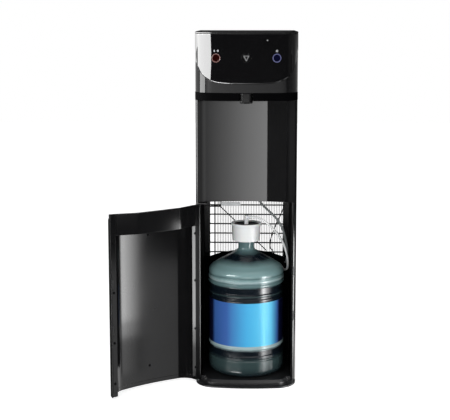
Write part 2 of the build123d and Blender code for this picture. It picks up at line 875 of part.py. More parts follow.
label_depth = 1.6
with BuildPart() as bottle:
    foot_points = [(0, 26), (90, 26), (100, bay_floor), (bottle_radius, bay_floor)]
    rib = bottle_radius - 1.0
    band_points = [
        *groove(76, 86, 3),
        *groove(94, 120, 3.5),
        (bottle_radius, label_bottom - 4),
        (bottle_radius - label_depth, label_bottom - 2),
        (bottle_radius - label_depth, label_top + 2),
        (bottle_radius, label_top + 5),
        *groove(292, 303, 3.5)[:3],
        (rib, 304),
        (rib, 308),
        *groove(309, 336, 3.5)[1:],
        *groove(342, 350, 2.5),
        *groove(357, 366, 3),
    ]
    neck_points = [
        (bottle_radius, bottle_shoulder),
        (bottle_neck, bottle_neck_start),
        (bottle_neck, bottle_top),
        (0, bottle_top),
    ]
    foot_radii = [6, 6, 24]
    band_radii = [1.2] * len(band_points)
    neck_radii = [26, 10, 2]
    with BuildSketch(bottle_plane):
        with BuildLine():
            outline = FilletPolyline(
                *foot_points, *band_points, *neck_points, radius=[*foot_radii, *band_radii, *neck_radii]
            )
            Line(outline @ 1, outline @ 0)
        make_face()
    revolve(axis=bottle_axis)
    cavity_radius = bottle_radius - 6
    cavity_floor = 30.0
    cavity_shoulder = 374.0
    cavity_neck = bottle_neck - 3
    with BuildSketch(bottle_plane):
        with BuildLine():
            inside = FilletPolyline(
                (0, cavity_floor),
                (cavity_radius, cavity_floor),
                (cavity_radius, cavity_shoulder),
                (cavity_neck, bottle_neck_start - 8),
                (cavity_neck, bottle_top + 1),
                (0, bottle_top + 1),
                radius=[20, 30, 8, 0],
            )
            Line(inside @ 1, inside @ 0)
        make_face()
    revolve(axis=bottle_axis, mode=Mode.SUBTRACT)
write(bottle.part, "bottle")

probe_radius = 5.0
with BuildPart() as bottle_water:
    with BuildSketch(bottle_plane):
        with BuildLine():
            wet = FilletPolyline(
                (probe_radius + 0.5, cavity_floor + 0.3),
                (cavity_radius - 0.3, cavity_floor + 0.3),
                (cavity_radius - 0.3, cavity_shoulder),
                (bottle_neck + 56, water_level),
                (probe_radius + 0.5, water_level),
                radius=[20, 30, 0],
            )
            Line(wet @ 1, wet @ 0)
        make_face()
    revolve(axis=bottle_axis)
write(bottle_water.part, "bottle_water")

with BuildPart() as bottle_label:
    label_inner = bottle_radius - label_depth
    with BuildSketch(bottle_plane):
        with Locations((label_inner + 0.4, (label_bottom + label_top) / 2)):
            Rectangle(0.8, label_top - label_bottom)
    revolve(axis=bottle_axis)
write(bottle_label.part, "bottle_label")

cap_bottom = 477.0
cap_top = 537.0
cap_rim = 52.5
cap_well = cap_top - 13
with BuildPart() as probe_cap:
    with BuildSketch(bottle_plane):
        with BuildLine():
            Polyline(
                (probe_radius + 0.3, bottle_top),
                (bottle_neck + 0.4, bottle_top),
                (bottle_neck + 0.4, cap_bottom),
                (47.5, cap_bottom),
                (49.5, cap_top - 8),
                (cap_rim, cap_top - 7),
                (cap_rim, cap_top),
                (cap_rim - 7, cap_top),
                (cap_rim - 8.5, cap_well),
                (probe_radius + 0.3, cap_well),
                close=True,
            )
        make_face()
    revolve(axis=bottle_axis)
write(probe_cap.part, "probe_cap")

with BuildPart() as probe_tube:
    with BuildSketch(bottle_plane):
        probe_bore = 2.5
        probe_foot = cavity_floor + 8
        probe_head = cap_top - 8
        with Locations(((probe_bore + probe_radius) / 2, (probe_foot + probe_head) / 2)):
            Rectangle(probe_radius - probe_bore, probe_head - probe_foot)
    revolve(axis=bottle_axis)
write(probe_tube.part, "probe_tube")

elbow_level = 556.0
elbow_reach = 20.0
with BuildPart() as hose_elbow:
    elbow_radius = 7.5
    sleeve_top = cap_well + 6
    with BuildSketch(Plane.XY.offset(cap_well)):
        with Locations((0, bottle_y)):
            Circle(elbow_radius)
            Circle(probe_radius + 0.2, mode=Mode.SUBTRACT)
    extrude(amount=sleeve_top - cap_well)
    with BuildSketch(Plane.XY.offset(sleeve_top)):
        with Locations((0, bottle_y)):
            Circle(elbow_radius)
    extrude(amount=elbow_level + 7 - sleeve_top)
    fillet(hose_elbow.edges().group_by(Axis.Z)[-1], 3)
    with BuildSketch(Plane.YZ.offset(0)):
        with Locations((bottle_y, elbow_level)):
            Circle(5.5)
    extrude(amount=elbow_reach)
write(hose_elbow.part, "hose_elbow")

# Free lines in the compartment, each with the route that it hangs in
suction_points = [
    (elbow_reach, bottle_y, elbow_level),
    (36, bottle_y, elbow_level),
    (56, -20.5, 547),
    (81, -21, 528),
    (106, -20, 502),
    (127, -16, 469),
    (140, -8, 432),
    (146, 8, 396),
    (146.5, 30, 370),
    (143, 56, 354),
    (136, 82, 347),
    (hose_port[0] + 3, 104, 345.4),
    (hose_port[0], bay_wall_y + 2, hose_port[1]),
]
write(tube_along(suction_points, corner_radii(suction_points), hose_radius, "suction hose"), "suction_hose")

riser_points = [
    (*riser_top, deck_z + 1),
    (38, 70.5, 612),
    (52, 70, 588),
    (75, 69, 566),
    (99, 68, 544),
    (120, 66, 517),
    (133, 65, 486),
    (141, 68, 452),
    (146, 76, 420),
    (146, 88, 393),
    (144, 102, 374),
    (riser_port[0], bay_wall_y + 2, riser_port[1]),
]
write(tube_along(riser_points, corner_radii(riser_points), hose_radius, "riser hose"), "riser_hose")

cable_points = [
    (*cable_top, deck_z + 1),
    (139, 100, 604),
    (134, 101, 574),
    (121, 102, 541),
    (106, 103, 508),
    (93, 104, 476),
    (85, 107, 446),
    (84, 113, 424),
    (87, 121, 414),
    (92, 129, 410),
    (98, 136, 399),
    (103, 140, 380),
    (105, 142, 356),
    (106, 142, 332),
    (106.5, 143, 311.5),
]
write(tube_along(cable_points, corner_radii(cable_points), cable_radius, "pump cable"), "pump_cable")

# Lower door, modelled shut and then swung open about its hinge
hinge_axis = Axis((hinge_x, hinge_y, 0), (0, 0, 1))


def write_open(part, name):
    """Swings one finished door piece to the pose of the photo and writes it."""
    write(part.rotate(hinge_axis, -door_open), name)


def front_scoop():
    """Cutter that lowers the door's top in front of the lip along its inner edge."""
    lip_depth = 12.0
    lip_flat = (ledge_flat_x, niche_y - 2 - lip_depth)
    lip_bend = (flange_x - 3, corner_y + 1 - lip_depth)
    lip_end = (half_width + 5, flange_y - lip_depth)
    reach_y = front_y - 30
    with BuildPart() as cutter:
        with BuildSketch(Plane.XY.offset(scoop_top)):
            with BuildLine():
                Polyline(
                    (-lip_end[0], lip_end[1]),
                    (-lip_bend[0], lip_bend[1]),
                    (-lip_flat[0], lip_flat[1]),
                    lip_flat,
                    lip_bend,
                    lip_end,
                    (lip_end[0], reach_y),
                    (-lip_end[0], reach_y),
                    close=True,
                )
            make_face()
        extrude(amount=scoop_depth + 1)
    return cutter.part


with BuildPart() as door_skin:
    with BuildSketch(Plane.XY.offset(skin_bottom)):
        add(bowed_plan(0, corner_y))
        add(bowed_plan(skin, corner_y), mode=Mode.SUBTRACT)
        with Locations((0, (corner_y + flange_y) / 2)):
            Rectangle(width + 2, corner_y - flange_y, mode=Mode.SUBTRACT)
    extrude(amount=ledge_top - skin_bottom)
    add(front_scoop(), mode=Mode.SUBTRACT)
write_open(door_skin.part, "door_skin")

with BuildPart() as door_liner:
    with BuildSketch(Plane.XY.offset(rail_top)):
        add(bowed_plan(liner_inset, corner_y))
        add(bowed_plan(liner_inset + liner_sheet, corner_y), mode=Mode.SUBTRACT)
        with Locations((0, (corner_y + flange_y) / 2)):
            Rectangle(width + 2, corner_y - flange_y, mode=Mode.SUBTRACT)
        flange_edge = half_width - skin - 1.2
        for inner, outer in ((-hinge_flange_x, -flange_edge), (flange_x, flange_edge)):
            with Locations(((inner + outer) / 2, flange_y - liner_sheet / 2)):
                Rectangle(abs(outer - inner), liner_sheet)
    extrude(amount=ledge_bottom - rail_top)
    with BuildSketch(Plane.XZ.offset(-flange_y)):
        with Locations(*[(magnet_x, level) for level in magnet_levels]):
            Rectangle(magnet_width + 0.4, magnet_height + 0.4)
    extrude(amount=1.8, mode=Mode.SUBTRACT)
write_open(door_liner.part, "door_liner")

with BuildPart() as door_magnets:
    with BuildSketch(Plane.XZ.offset(-flange_y + 0.1)):
        with Locations(*[(magnet_x, level) for level in magnet_levels]):
            Rectangle(magnet_width, magnet_height)
    extrude(amount=1.6)
write_open(door_magnets.part, "door_magnets")

with BuildPart() as door_bottom_rail:
    with BuildSketch(Plane.XY.offset(rail_bottom)):
        add(bowed_plan(skin + 0.1, corner_y))
        add(bowed_plan(liner_inset + liner_sheet, corner_y), mode=Mode.SUBTRACT)
        with Locations((0, (corner_y + flange_y) / 2)):
            Rectangle(width + 2, corner_y - flange_y, mode=Mode.SUBTRACT)
    extrude(amount=rail_top - rail_bottom)
    with Locations((hinge_x, hinge_y, rail_top)):
        Hole(hinge_pin_radius + running_fit, depth=rail_top - rail_bottom)
write_open(door_bottom_rail.part, "door_bottom_rail")

with BuildPart() as door_ledge:
    with BuildSketch(Plane.XY.offset(ledge_bottom)):
        add(bowed_plan(skin + 0.1, corner_y))
        with Locations((0, (corner_y + flange_y) / 2)):
            Rectangle(width + 2, corner_y - flange_y, mode=Mode.SUBTRACT)
        with BuildLine():
            back_edge = FilletPolyline(
                (-flange_x, flange_y),
                (-flange_x + 3, corner_y + 1),
                (-ledge_flat_x, niche_y - 2),
                (ledge_flat_x, niche_y - 2),
                (flange_x - 3, corner_y + 1),
                (flange_x, flange_y),
                radius=[3, 40, 40, 3],
            )
            Line(back_edge @ 1, back_edge @ 0)
        make_face()
    extrude(amount=ledge_top - ledge_bottom)
    add(front_scoop(), mode=Mode.SUBTRACT)
    with BuildSketch(Plane.XY.offset(scoop_top)):
        with Locations((0, tray_y)):
            RectangleRounded(tray_width, tray_depth, tray_corner)
    extrude(amount=-tray_height - tray_gap, mode=Mode.SUBTRACT)
    with Locations((hinge_x, hinge_y, ledge_top)):
        Hole(hinge_pin_radius + running_fit, depth=upper_pin_reach)
write_open(door_ledge.part, "door_ledge")

with BuildPart() as drip_tray:
    with BuildSketch(Plane.XY.offset(scoop_top - tray_height)):
        with Locations((0, tray_y)):
            RectangleRounded(tray_width - 2 * tray_gap, tray_depth - 2 * tray_gap, tray_corner - tray_gap)
    extrude(amount=tray_height)
    grille_sheet = 2.5
    tray_wall = 2.2
    with BuildSketch(Plane.XY.offset(scoop_top)):
        with Locations((0, tray_y)):
            RectangleRounded(tray_width - 2 * tray_wall, tray_depth - 2 * tray_wall, grille_corner + 0.2)
    extrude(amount=-grille_sheet, mode=Mode.SUBTRACT)
    with BuildSketch(Plane.XY.offset(scoop_top - grille_sheet)):
        with Locations((0, tray_y)):
            RectangleRounded(tray_width - 4 * tray_wall, tray_depth - 4 * tray_wall, grille_corner - 2)
    extrude(amount=-tray_height + grille_sheet + tray_wall, mode=Mode.SUBTRACT)
write_open(drip_tray.part, "drip_tray")

with BuildPart() as drip_grille:
    grille_gap = 0.2
    grille_width = tray_width - 2 * tray_wall - 2 * grille_gap
    grille_depth = tray_depth - 2 * tray_wall - 2 * grille_gap
    with BuildSketch(Plane.XY.offset(scoop_top - grille_sheet)):
        with Locations((0, tray_y)):
            RectangleRounded(grille_width, grille_depth, grille_corner)
            with GridLocations(slot_pitch, 0, slot_count, 1):
                SlotOverall(40, 4.5, rotation=90, mode=Mode.SUBTRACT)
    extrude(amount=grille_sheet)
write_open(drip_grille.part, "drip_grille")

with BuildPart() as liner_screws:
    head_radius = 3.6
    head_height = 1.6
    with BuildSketch(Plane.XZ.offset(-flange_y)):
        with Locations(*[(x, level) for x in (-hinge_screw_x, screw_x) for level in screw_levels]):
            Circle(head_radius)
    extrude(amount=-head_height)
    liner_apex = front_y + liner_inset + liner_sheet
    with BuildSketch(Plane.XZ.offset(-liner_apex - 0.05)):
        with Locations(*[(0, level) for level in screw_centre_levels]):
            Circle(head_radius)
    extrude(amount=-head_height)
write_open(liner_screws.part, "liner_screws")
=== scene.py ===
# %% [markdown]
# # A bottom-loading water dispenser
# The solids of this dispenser come from CAD and stay where they are. This lesson dresses them: it
# builds hoses, wires, screws and printing, rounds sharp edges, and gives each real material its own
# finish. Everything is in metres, +Z is up and the front faces -Y.

import json
import math

import bmesh
import bpy
from mathutils import Matrix, Vector


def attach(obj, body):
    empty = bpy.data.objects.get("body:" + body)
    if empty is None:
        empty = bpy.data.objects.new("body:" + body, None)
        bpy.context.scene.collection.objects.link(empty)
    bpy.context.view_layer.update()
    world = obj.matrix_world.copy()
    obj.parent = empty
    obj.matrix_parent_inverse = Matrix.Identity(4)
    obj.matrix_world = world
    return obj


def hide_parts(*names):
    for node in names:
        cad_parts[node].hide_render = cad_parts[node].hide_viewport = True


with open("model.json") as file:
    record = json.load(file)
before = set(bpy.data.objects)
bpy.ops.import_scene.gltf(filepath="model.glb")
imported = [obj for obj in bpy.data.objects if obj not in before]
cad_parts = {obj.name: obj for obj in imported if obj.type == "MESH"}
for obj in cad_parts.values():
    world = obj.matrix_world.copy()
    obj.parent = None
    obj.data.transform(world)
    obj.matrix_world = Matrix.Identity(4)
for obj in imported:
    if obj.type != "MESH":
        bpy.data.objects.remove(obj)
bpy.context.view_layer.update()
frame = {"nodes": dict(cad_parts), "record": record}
nodes = frame["nodes"]
record = frame["record"]
mm = 0.001
body_of = {node: body for body, members in record["behaviour"]["bodies"].items() for node in members}
slot_of = {entry["node"]: entry["material_slot"] for entry in record["subparts"]}

# %% [markdown]
# ## Camera
# The photo was taken from straight in front, a little above the top of the cabinet, with a long lens.
# A camera could be placed by eye, but fitting it to a few corners whose place is known on both the
# object and the photo is exact. The focal length here is in pixels of a 450-pixel-wide picture.

# %% Camera
picture_width = 450
focal_pixels = 1073.2
camera_pitch = math.radians(8.297)
camera_turn = math.radians(1.574)
camera_data = bpy.data.cameras.new("camera")
camera_data.sensor_width = 36.0
camera_data.lens = camera_data.sensor_width * focal_pixels / picture_width
camera_data.shift_y = -0.08
camera = bpy.data.objects.new("camera", camera_data)
camera.location = (0.0267, -3.6746, 1.2398)
camera.rotation_euler = (math.pi / 2 - camera_pitch, 0.0, camera_turn)
bpy.context.collection.objects.link(camera)
bpy.context.scene.camera = camera
print("lens", round(camera_data.lens, 1), "mm")

# %% [markdown]
# ## Helpers
# Colours are written as sRGB hex values, as a paint chart gives them, and Blender's shaders want
# linear light, so one function converts them. One small function adds a node with its settings; an
# input that is given another node's output becomes a link, and anything else becomes its value. Two
# more start a material and find the shader in it.


# %% Colour and nodes
def linear(code):
    """Turns an sRGB hex colour into linear red, green, blue and a full alpha."""
    channels = [int(code[place:place + 2], 16) / 255 for place in (1, 3, 5)]
    return [c / 12.92 if c <= 0.04045 else ((c + 0.055) / 1.055) ** 2.4 for c in channels] + [1.0]


def add(tree, kind, inputs=None, **settings):
    """Adds one node, sets its properties, and links or sets its inputs."""
    node = tree.nodes.new(kind)
    for name, value in settings.items():
        setattr(node, name, value)
    for name, value in (inputs or {}).items():
        if isinstance(value, bpy.types.NodeSocket):
            tree.links.new(value, node.inputs[name])
        else:
            node.inputs[name].default_value = value
    return node


def new_material(name):
    """Makes a material with Blender's standard shader in it."""
    material = bpy.data.materials.new(name)
    material.use_nodes = True
    return material


def shader_of(material):
    """The standard shader of a material."""
    return material.node_tree.nodes["Principled BSDF"]


def new_piece(name, mesh):
    """Puts a mesh into the scene as an object at the origin."""
    piece = bpy.data.objects.new(name, mesh)
    bpy.context.collection.objects.link(piece)
    return piece


def per_mm(size):
    """Texture scale that repeats about once in this many millimetres."""
    return 1000.0 / size


print("black as written", [round(channel, 4) for channel in linear("#141415")])

# %% [markdown]
# ## Plastics
# Most of the dispenser is injection-moulded ABS. The mould is either polished, which leaves a mirror
# gloss with a faint orange-peel ripple, or spark-eroded, which leaves a fine even grain. One function
# makes both: a slow noise changes colour and gloss as flow in the mould does, and a fine noise raises
# the grain. A photo texture would give the same look, but a noise has no seams and any scale.

# %% Moulded plastic
flow_size = 70


def moulded_plastic(name, dark, light, roughness, grain, height, specular=0.5, lean=0.0):
    """Plastic with two tones, a roughness range, mould grain of a size and height in mm, and a lean back."""
    material = new_material(name)
    tree = material.node_tree
    shader = shader_of(material)
    shader.inputs["Specular IOR Level"].default_value = specular
    place = add(tree, "ShaderNodeTexCoord").outputs["Object"]
    flow = add(tree, "ShaderNodeTexNoise", {"Vector": place, "Scale": per_mm(flow_size), "Detail": 3.0})
    tones = add(tree, "ShaderNodeValToRGB", {"Fac": flow.outputs[0]})
    tones.color_ramp.elements[0].color = linear(dark)
    tones.color_ramp.elements[1].color = linear(light)
    gloss = add(tree, "ShaderNodeMapRange", {
        "Value": flow.outputs[0], "To Min": roughness[0], "To Max": roughness[1]})
    mould = add(tree, "ShaderNodeTexNoise", {"Vector": place, "Scale": per_mm(grain), "Detail": 2.0})
    relief = add(tree, "ShaderNodeBump", {
        "Height": mould.outputs[0], "Distance": height * mm, "Strength": 1.0})
    tree.links.new(tones.outputs[0], shader.inputs["Base Color"])
    tree.links.new(gloss.outputs[0], shader.inputs["Roughness"])
    normal = relief.outputs[0]
    if lean:
        upward = (0.0, 0.0, math.tan(math.radians(lean)))
        normal = add(tree, "ShaderNodeVectorMath", {0: normal, 1: upward}, operation="ADD").outputs[0]
    tree.links.new(normal, shader.inputs["Normal"])
    return material


# Polished black ABS: near-black body under a mirror gloss, with a ripple of 22 mm that bends reflections
polished = ("#0d0d0e", "#121213", (0.02, 0.04), 22.0, 0.004)
# The control panel: polished, and set to lean back by about a degree, so it mirrors higher things
panel_lean = 1.2
panel_abs = moulded_plastic("polished_black_abs_panel", *polished, lean=panel_lean)
# The panel's rounded rim: lacquered, with a stronger mirror than bare plastic, so it draws a light line
rim_abs = moulded_plastic("lacquered_black_abs", "#0d0d0e", "#121213", (0.08, 0.12), 22.0, 0.004)
shader_of(rim_abs).inputs["IOR"].default_value = 2.0
# Semi-gloss black ABS of the head: as dark, with a slightly softer edge to each reflection
gloss_abs = moulded_plastic("semi_gloss_black_abs", "#101011", "#151516", (0.03, 0.05), 18.0, 0.003)
# Spark-eroded black ABS: soft wide highlights; the 0.4 mm grain is drawn at 1.6 mm so that it shows
satin_abs = moulded_plastic("spark_eroded_black_abs", "#0f0f10", "#161617", (0.2, 0.27), 1.6, 0.008)
# Charcoal ABS of the base: a shade lighter, with a broad soft sheen
base_abs = moulded_plastic("charcoal_satin_abs", "#19191b", "#212123", (0.28, 0.36), 1.6, 0.008)
# Vacuum-formed ABS of the door's inside: smoother and duller than the skin, so highlights stay narrow
liner_abs = moulded_plastic("vacuum_formed_black_abs", "#0f0f10", "#161617", (0.1, 0.14), 3.0, 0.003)
# The niche's own polished ABS: a mirror in the middle that turns dim towards the left lip
niche_abs = moulded_plastic("niche_black_abs", *polished)
# Dull ABS on the niche's right lip: keeps the bright card in front from shining in it
lip_abs = moulded_plastic("dull_black_abs", "#0a0a0b", "#101011", (0.2, 0.3), 1.2, 0.006, 0.06)
# Coarsely textured ABS of the band over the niche: swallows light, so it stays the blackest part
matt_abs = moulded_plastic("textured_black_abs", "#020203", "#040405", (0.7, 0.8), 1.1, 0.02, 0.02)
# Fine-textured ABS of the spout: dark, with soft light on its rounded edges only
spout_abs = moulded_plastic("fine_textured_black_abs", "#0a0a0b", "#101011", (0.22, 0.3), 1.2, 0.006, 0.2)
# White polypropylene of the probe cap and fittings: bright, faintly waxy, light passes a little way in
white_pp = moulded_plastic("moulded_white_polypropylene", "#e6e8e9", "#f0f1f1", (0.32, 0.42), 2.4, 0.01)
shader = shader_of(white_pp)
shader.inputs["Subsurface Weight"].default_value = 0.08
shader.inputs["Subsurface Scale"].default_value = 2 * mm
# White silicone hose: bright and smooth, so its sides darken where they mirror the room
silicone = moulded_plastic("white_silicone_hose", "#f4f5f5", "#fbfcfc", (0.12, 0.2), 3.0, 0.005)
# Grey polyethylene riser: greyer and a little shinier than the silicone
polyethylene = moulded_plastic("grey_polyethylene_tube", "#8d9394", "#a7adad", (0.3, 0.4), 3.0, 0.01)
# Black PVC of the pump cable, black rubber of plug, gland and magnets: dull with a broad sheen
rubber = moulded_plastic("black_rubber", "#131314", "#1d1d1e", (0.5, 0.62), 1.2, 0.02, 0.35)
# Grey rubber of the seal in the cap: paler than the black rubber, and as dull
seal_rubber = moulded_plastic("grey_rubber_seal", "#2e3032", "#3a3c3e", (0.55, 0.65), 1.2, 0.02, 0.35)
# The dispense button: the panel's plastic with a weaker gloss, so its rim draws no line
button_abs = moulded_plastic("polished_black_abs_button", *polished, specular=0.15, lean=panel_lean)
# Charcoal nylon of the pump's housing: dark grey, slightly rough
nylon = moulded_plastic("charcoal_glass_filled_nylon", "#26282a", "#34373a", (0.42, 0.55), 1.4, 0.02)
print("moulded plastics:", len(bpy.data.materials))

# %% [markdown]
# ## The dull strip beside the hinge
# The door's liner is dull where the cabinet's edge comes close to it, beside the hinge, and shinier
# elsewhere. The mask for that is simple in the shut door's own axes, so a Mapping node turns the open
# door's points back about the hinge, and the distance across the door sets the strength of the gloss.

# %% Dull strip
strip_width = 11.5 * mm
fade_end = 13.5 * mm
hinge = Vector((-163.0, -126.118, 0.0))
door_turn = -math.radians(145)
tree = liner_abs.node_tree
place = add(tree, "ShaderNodeTexCoord").outputs["Object"]
shut = add(tree, "ShaderNodeMapping", {
    "Vector": place, "Location": hinge * mm, "Rotation": (0.0, 0.0, door_turn)}, vector_type="TEXTURE")
across = add(tree, "ShaderNodeSeparateXYZ", {"Vector": shut.outputs[0]})
strength = add(tree, "ShaderNodeMapRange", {
    "Value": across.outputs["X"], "From Min": strip_width, "From Max": fade_end,
    "To Min": 0.01, "To Max": 0.2})
tree.links.new(strength.outputs[0], shader_of(liner_abs).inputs["Specular IOR Level"])
print("liner gloss fades 12 mm from the hinge")

# %% [markdown]
# ## Gloss that fades to one side
# The niche panel's left lip turns to the front and would show as a pale stripe, so its gloss fades
# towards that edge. The lacquer on the panel's rim grows thinner to the right, where its light line ends.


# %% Fading gloss
def gloss_across(material, start, end, first, last):
    """Lets the gloss of a material run from one strength to another between two places in mm along X."""
    tree = material.node_tree
    place = add(tree, "ShaderNodeTexCoord").outputs["Object"]
    across = add(tree, "ShaderNodeSeparateXYZ", {"Vector": place})
    strength = add(tree, "ShaderNodeMapRange", {
        "Value": across.outputs["X"], "From Min": start * mm, "From Max": end * mm,
        "To Min": first, "To Max": last}, interpolation_type="SMOOTHSTEP")
    tree.links.new(strength.outputs[0], shader_of(material).inputs["Specular IOR Level"])


gloss_across(niche_abs, -152, -133, 0.075, 0.5)
gloss_across(rim_abs, -70, 80, 1.0, 0.15)
print("gloss fades over the niche's left lip and along the rim")

# %% [markdown]
# ## Metals
# Sheet steel parts are powder coated, which dries to a finely pebbled skin. Tanks, rail and strike
# plates are bare and pale with a rolled grain, and the screws are blackened. The filter dryer is drawn
# copper, which darkens in patches. A metal keeps Blender's default IOR, since its colour alone sets
# its reflection.


# %% Coated and bare metal
def bare_metal(name, dark, light, roughness, grain):
    """Metal with two tones in soft patches and a rolled grain that is drawn out along Z."""
    material = new_material(name)
    tree = material.node_tree
    shader = shader_of(material)
    shader.inputs["Metallic"].default_value = 1.0
    place = add(tree, "ShaderNodeTexCoord").outputs["Object"]
    patches = add(tree, "ShaderNodeTexNoise", {"Vector": place, "Scale": per_mm(25), "Detail": 4.0})
    tones = add(tree, "ShaderNodeValToRGB", {"Fac": patches.outputs[0]})
    tones.color_ramp.elements[0].color = linear(dark)
    tones.color_ramp.elements[1].color = linear(light)
    drawn = add(tree, "ShaderNodeMapping", {"Vector": place, "Scale": (1.0, 1.0, 0.06)})
    rolled = add(tree, "ShaderNodeTexNoise", {
        "Vector": drawn.outputs[0], "Scale": per_mm(grain), "Detail": 2.0})
    gloss = add(tree, "ShaderNodeMapRange", {
        "Value": rolled.outputs[0], "To Min": roughness[0], "To Max": roughness[1]})
    tree.links.new(tones.outputs[0], shader.inputs["Base Color"])
    tree.links.new(gloss.outputs[0], shader.inputs["Roughness"])
    return material


# Powder coat: a black skin with 2.5 mm pebbles, which breaks up reflections without dulling them
powder_coat = moulded_plastic("black_powder_coated_steel", "#0e0e0f", "#151516", (0.14, 0.2), 2.5, 0.006)
# Stove enamel on the condenser: thin and smoother, a little grey in slow random patches
enamel = moulded_plastic("black_stove_enamel", "#17181a", "#26282a", (0.3, 0.45), 6.0, 0.01)
# Zinc-plated and stainless steel: pale grey with a fine rolled grain
zinc_steel = bare_metal("zinc_plated_steel", "#9b9d9f", "#c3c5c6", (0.22, 0.4), 1.2)
# Blackened steel of the screws: dark grey where the light falls, else nearly black
black_steel = bare_metal("black_oxide_steel", "#060607", "#101011", (0.4, 0.55), 0.8)
# Copper: warm, with darker patches from brazing
copper = bare_metal("drawn_copper", "#8c4a30", "#c7805c", (0.2, 0.38), 2.0)
print("metals ready")

# %% [markdown]
# ## Bottle
# The bottle is blown from tinted polycarbonate, and its bands of colour are painted light and shade. A ramp
# over the height gives each ring and groove one of five tones of the teal. The paler ones are painted light,
# where the rings and shoulder face up to the light. The darker ones are painted shade, in the grooves and at
# the water line, where the dark of the bay would show. Pure glass settings would not give these bands. A
# noise frays the borders between them, and a share of transmission lets the probe show.


# %% Ramp
def spread(tree, factor, stops):
    """Adds a colour ramp with a hex colour at each of its places and returns its colour output."""
    ramp = add(tree, "ShaderNodeValToRGB", {"Fac": factor})
    for place, _ in stops[1:-1]:
        ramp.color_ramp.elements.new(place)
    for element, (place, code) in zip(ramp.color_ramp.elements, stops):
        element.position = place
        element.color = linear(code)
    return ramp.outputs[0]


# %% Bottle and water
bottle_axis_y = -20 * mm
bottle_foot = 19 * mm
bottle_top = 498 * mm
# Five tones of the teal as painted light and shade: the darker ones are painted shade, the paler ones
# painted highlights
shadowed_wall = "#0f1820"
dim_wall = "#384a4b"
half_lit_wall = "#627e80"
lit_wall = "#82a2a3"
highlit_wall = "#acc4c6"
foot_bands = [(19, shadowed_wall), (56, dim_wall), (76, dim_wall), (94, shadowed_wall), (112, shadowed_wall)]
ring_bands = [
    (122, highlit_wall), (142, highlit_wall), (278, shadowed_wall), (299, shadowed_wall), (303, dim_wall),
    (308, shadowed_wall), (331, shadowed_wall), (338, half_lit_wall), (346, half_lit_wall), (354, highlit_wall)]
shoulder_bands = [
    (361, lit_wall), (367, half_lit_wall), (373, lit_wall), (400, lit_wall), (418, shadowed_wall),
    (430, shadowed_wall), (446, half_lit_wall), (498, half_lit_wall)]
light_and_shade_bands = foot_bands + ring_bands + shoulder_bands
bottle_plastic = new_material("tinted_polycarbonate")
tree = bottle_plastic.node_tree
shader = shader_of(bottle_plastic)
shader.inputs["IOR"].default_value = 1.5
shader.inputs["Transmission Weight"].default_value = 0.1
place = add(tree, "ShaderNodeTexCoord").outputs["Object"]
fray = add(tree, "ShaderNodeTexNoise", {"Vector": place, "Scale": per_mm(30), "Detail": 3.0})
lift = add(tree, "ShaderNodeMapRange", {"Value": fray.outputs[0], "To Min": -3 * mm, "To Max": 3 * mm})
upright = add(tree, "ShaderNodeSeparateXYZ", {"Vector": place})
level = add(tree, "ShaderNodeMath", {0: upright.outputs["Z"], 1: lift.outputs[0]}, operation="ADD")
share = add(tree, "ShaderNodeMapRange", {
    "Value": level.outputs[0], "From Min": bottle_foot, "From Max": bottle_top})
stops = [((height * mm - bottle_foot) / (bottle_top - bottle_foot), code) for height, code in light_and_shade_bands]
# The ramp paints the bands of light and shade into the bottle's base colour
tree.links.new(spread(tree, share.outputs[0], stops), shader.inputs["Base Color"])
scuffs = add(tree, "ShaderNodeTexNoise", {
    "Vector": place, "Scale": per_mm(8), "Detail": 6.0, "Roughness": 0.7})
gloss = add(tree, "ShaderNodeMapRange", {"Value": scuffs.outputs[0], "To Min": 0.14, "To Max": 0.24})
tree.links.new(gloss.outputs[0], shader.inputs["Roughness"])
ripple = add(tree, "ShaderNodeBump", {"Height": fray.outputs[0], "Distance": 0.03 * mm, "Strength": 1.0})
tree.links.new(ripple.outputs[0], shader.inputs["Normal"])
# Water: clear, with its own bend of light and the faintest green
water = moulded_plastic("still_water", "#cfe9e6", "#d9f1ee", (0.0, 0.01), 60.0, 0.0)
shader = shader_of(water)
shader.inputs["IOR"].default_value = 1.33
shader.inputs["Transmission Weight"].default_value = 1.0
print("bottle bands:", len(light_and_shade_bands))

# %% [markdown]
# ## Label
# The label is a shrink sleeve of printed film. Its blue runs round the bottle from navy to a pale sky
# blue and back, so the colour follows the angle about the bottle's axis: a radial gradient, centred by
# a Mapping node, gives that angle. The blue lightens towards a pale band a little right of the front.
# That band is a painted highlight, where the strip at the right is mirrored. Its face stays bare of any
# drawing.

# %% Label film
label_film = new_material("blue_film_print_and_painted_highlight")
tree = label_film.node_tree
shader = shader_of(label_film)
shader.inputs["Specular IOR Level"].default_value = 0.22
place = add(tree, "ShaderNodeTexCoord").outputs["Object"]
centred = add(tree, "ShaderNodeMapping", {
    "Vector": place, "Location": (0.0, bottle_axis_y, 0.0), "Rotation": (0.0, 0.0, -math.pi / 2)},
    vector_type="TEXTURE")
round_way = add(tree, "ShaderNodeTexGradient", {"Vector": centred.outputs[0]}, gradient_type="RADIAL")
navy = "#111536"
royal_blue = "#3e68b2"
azure = "#4ab3e8"
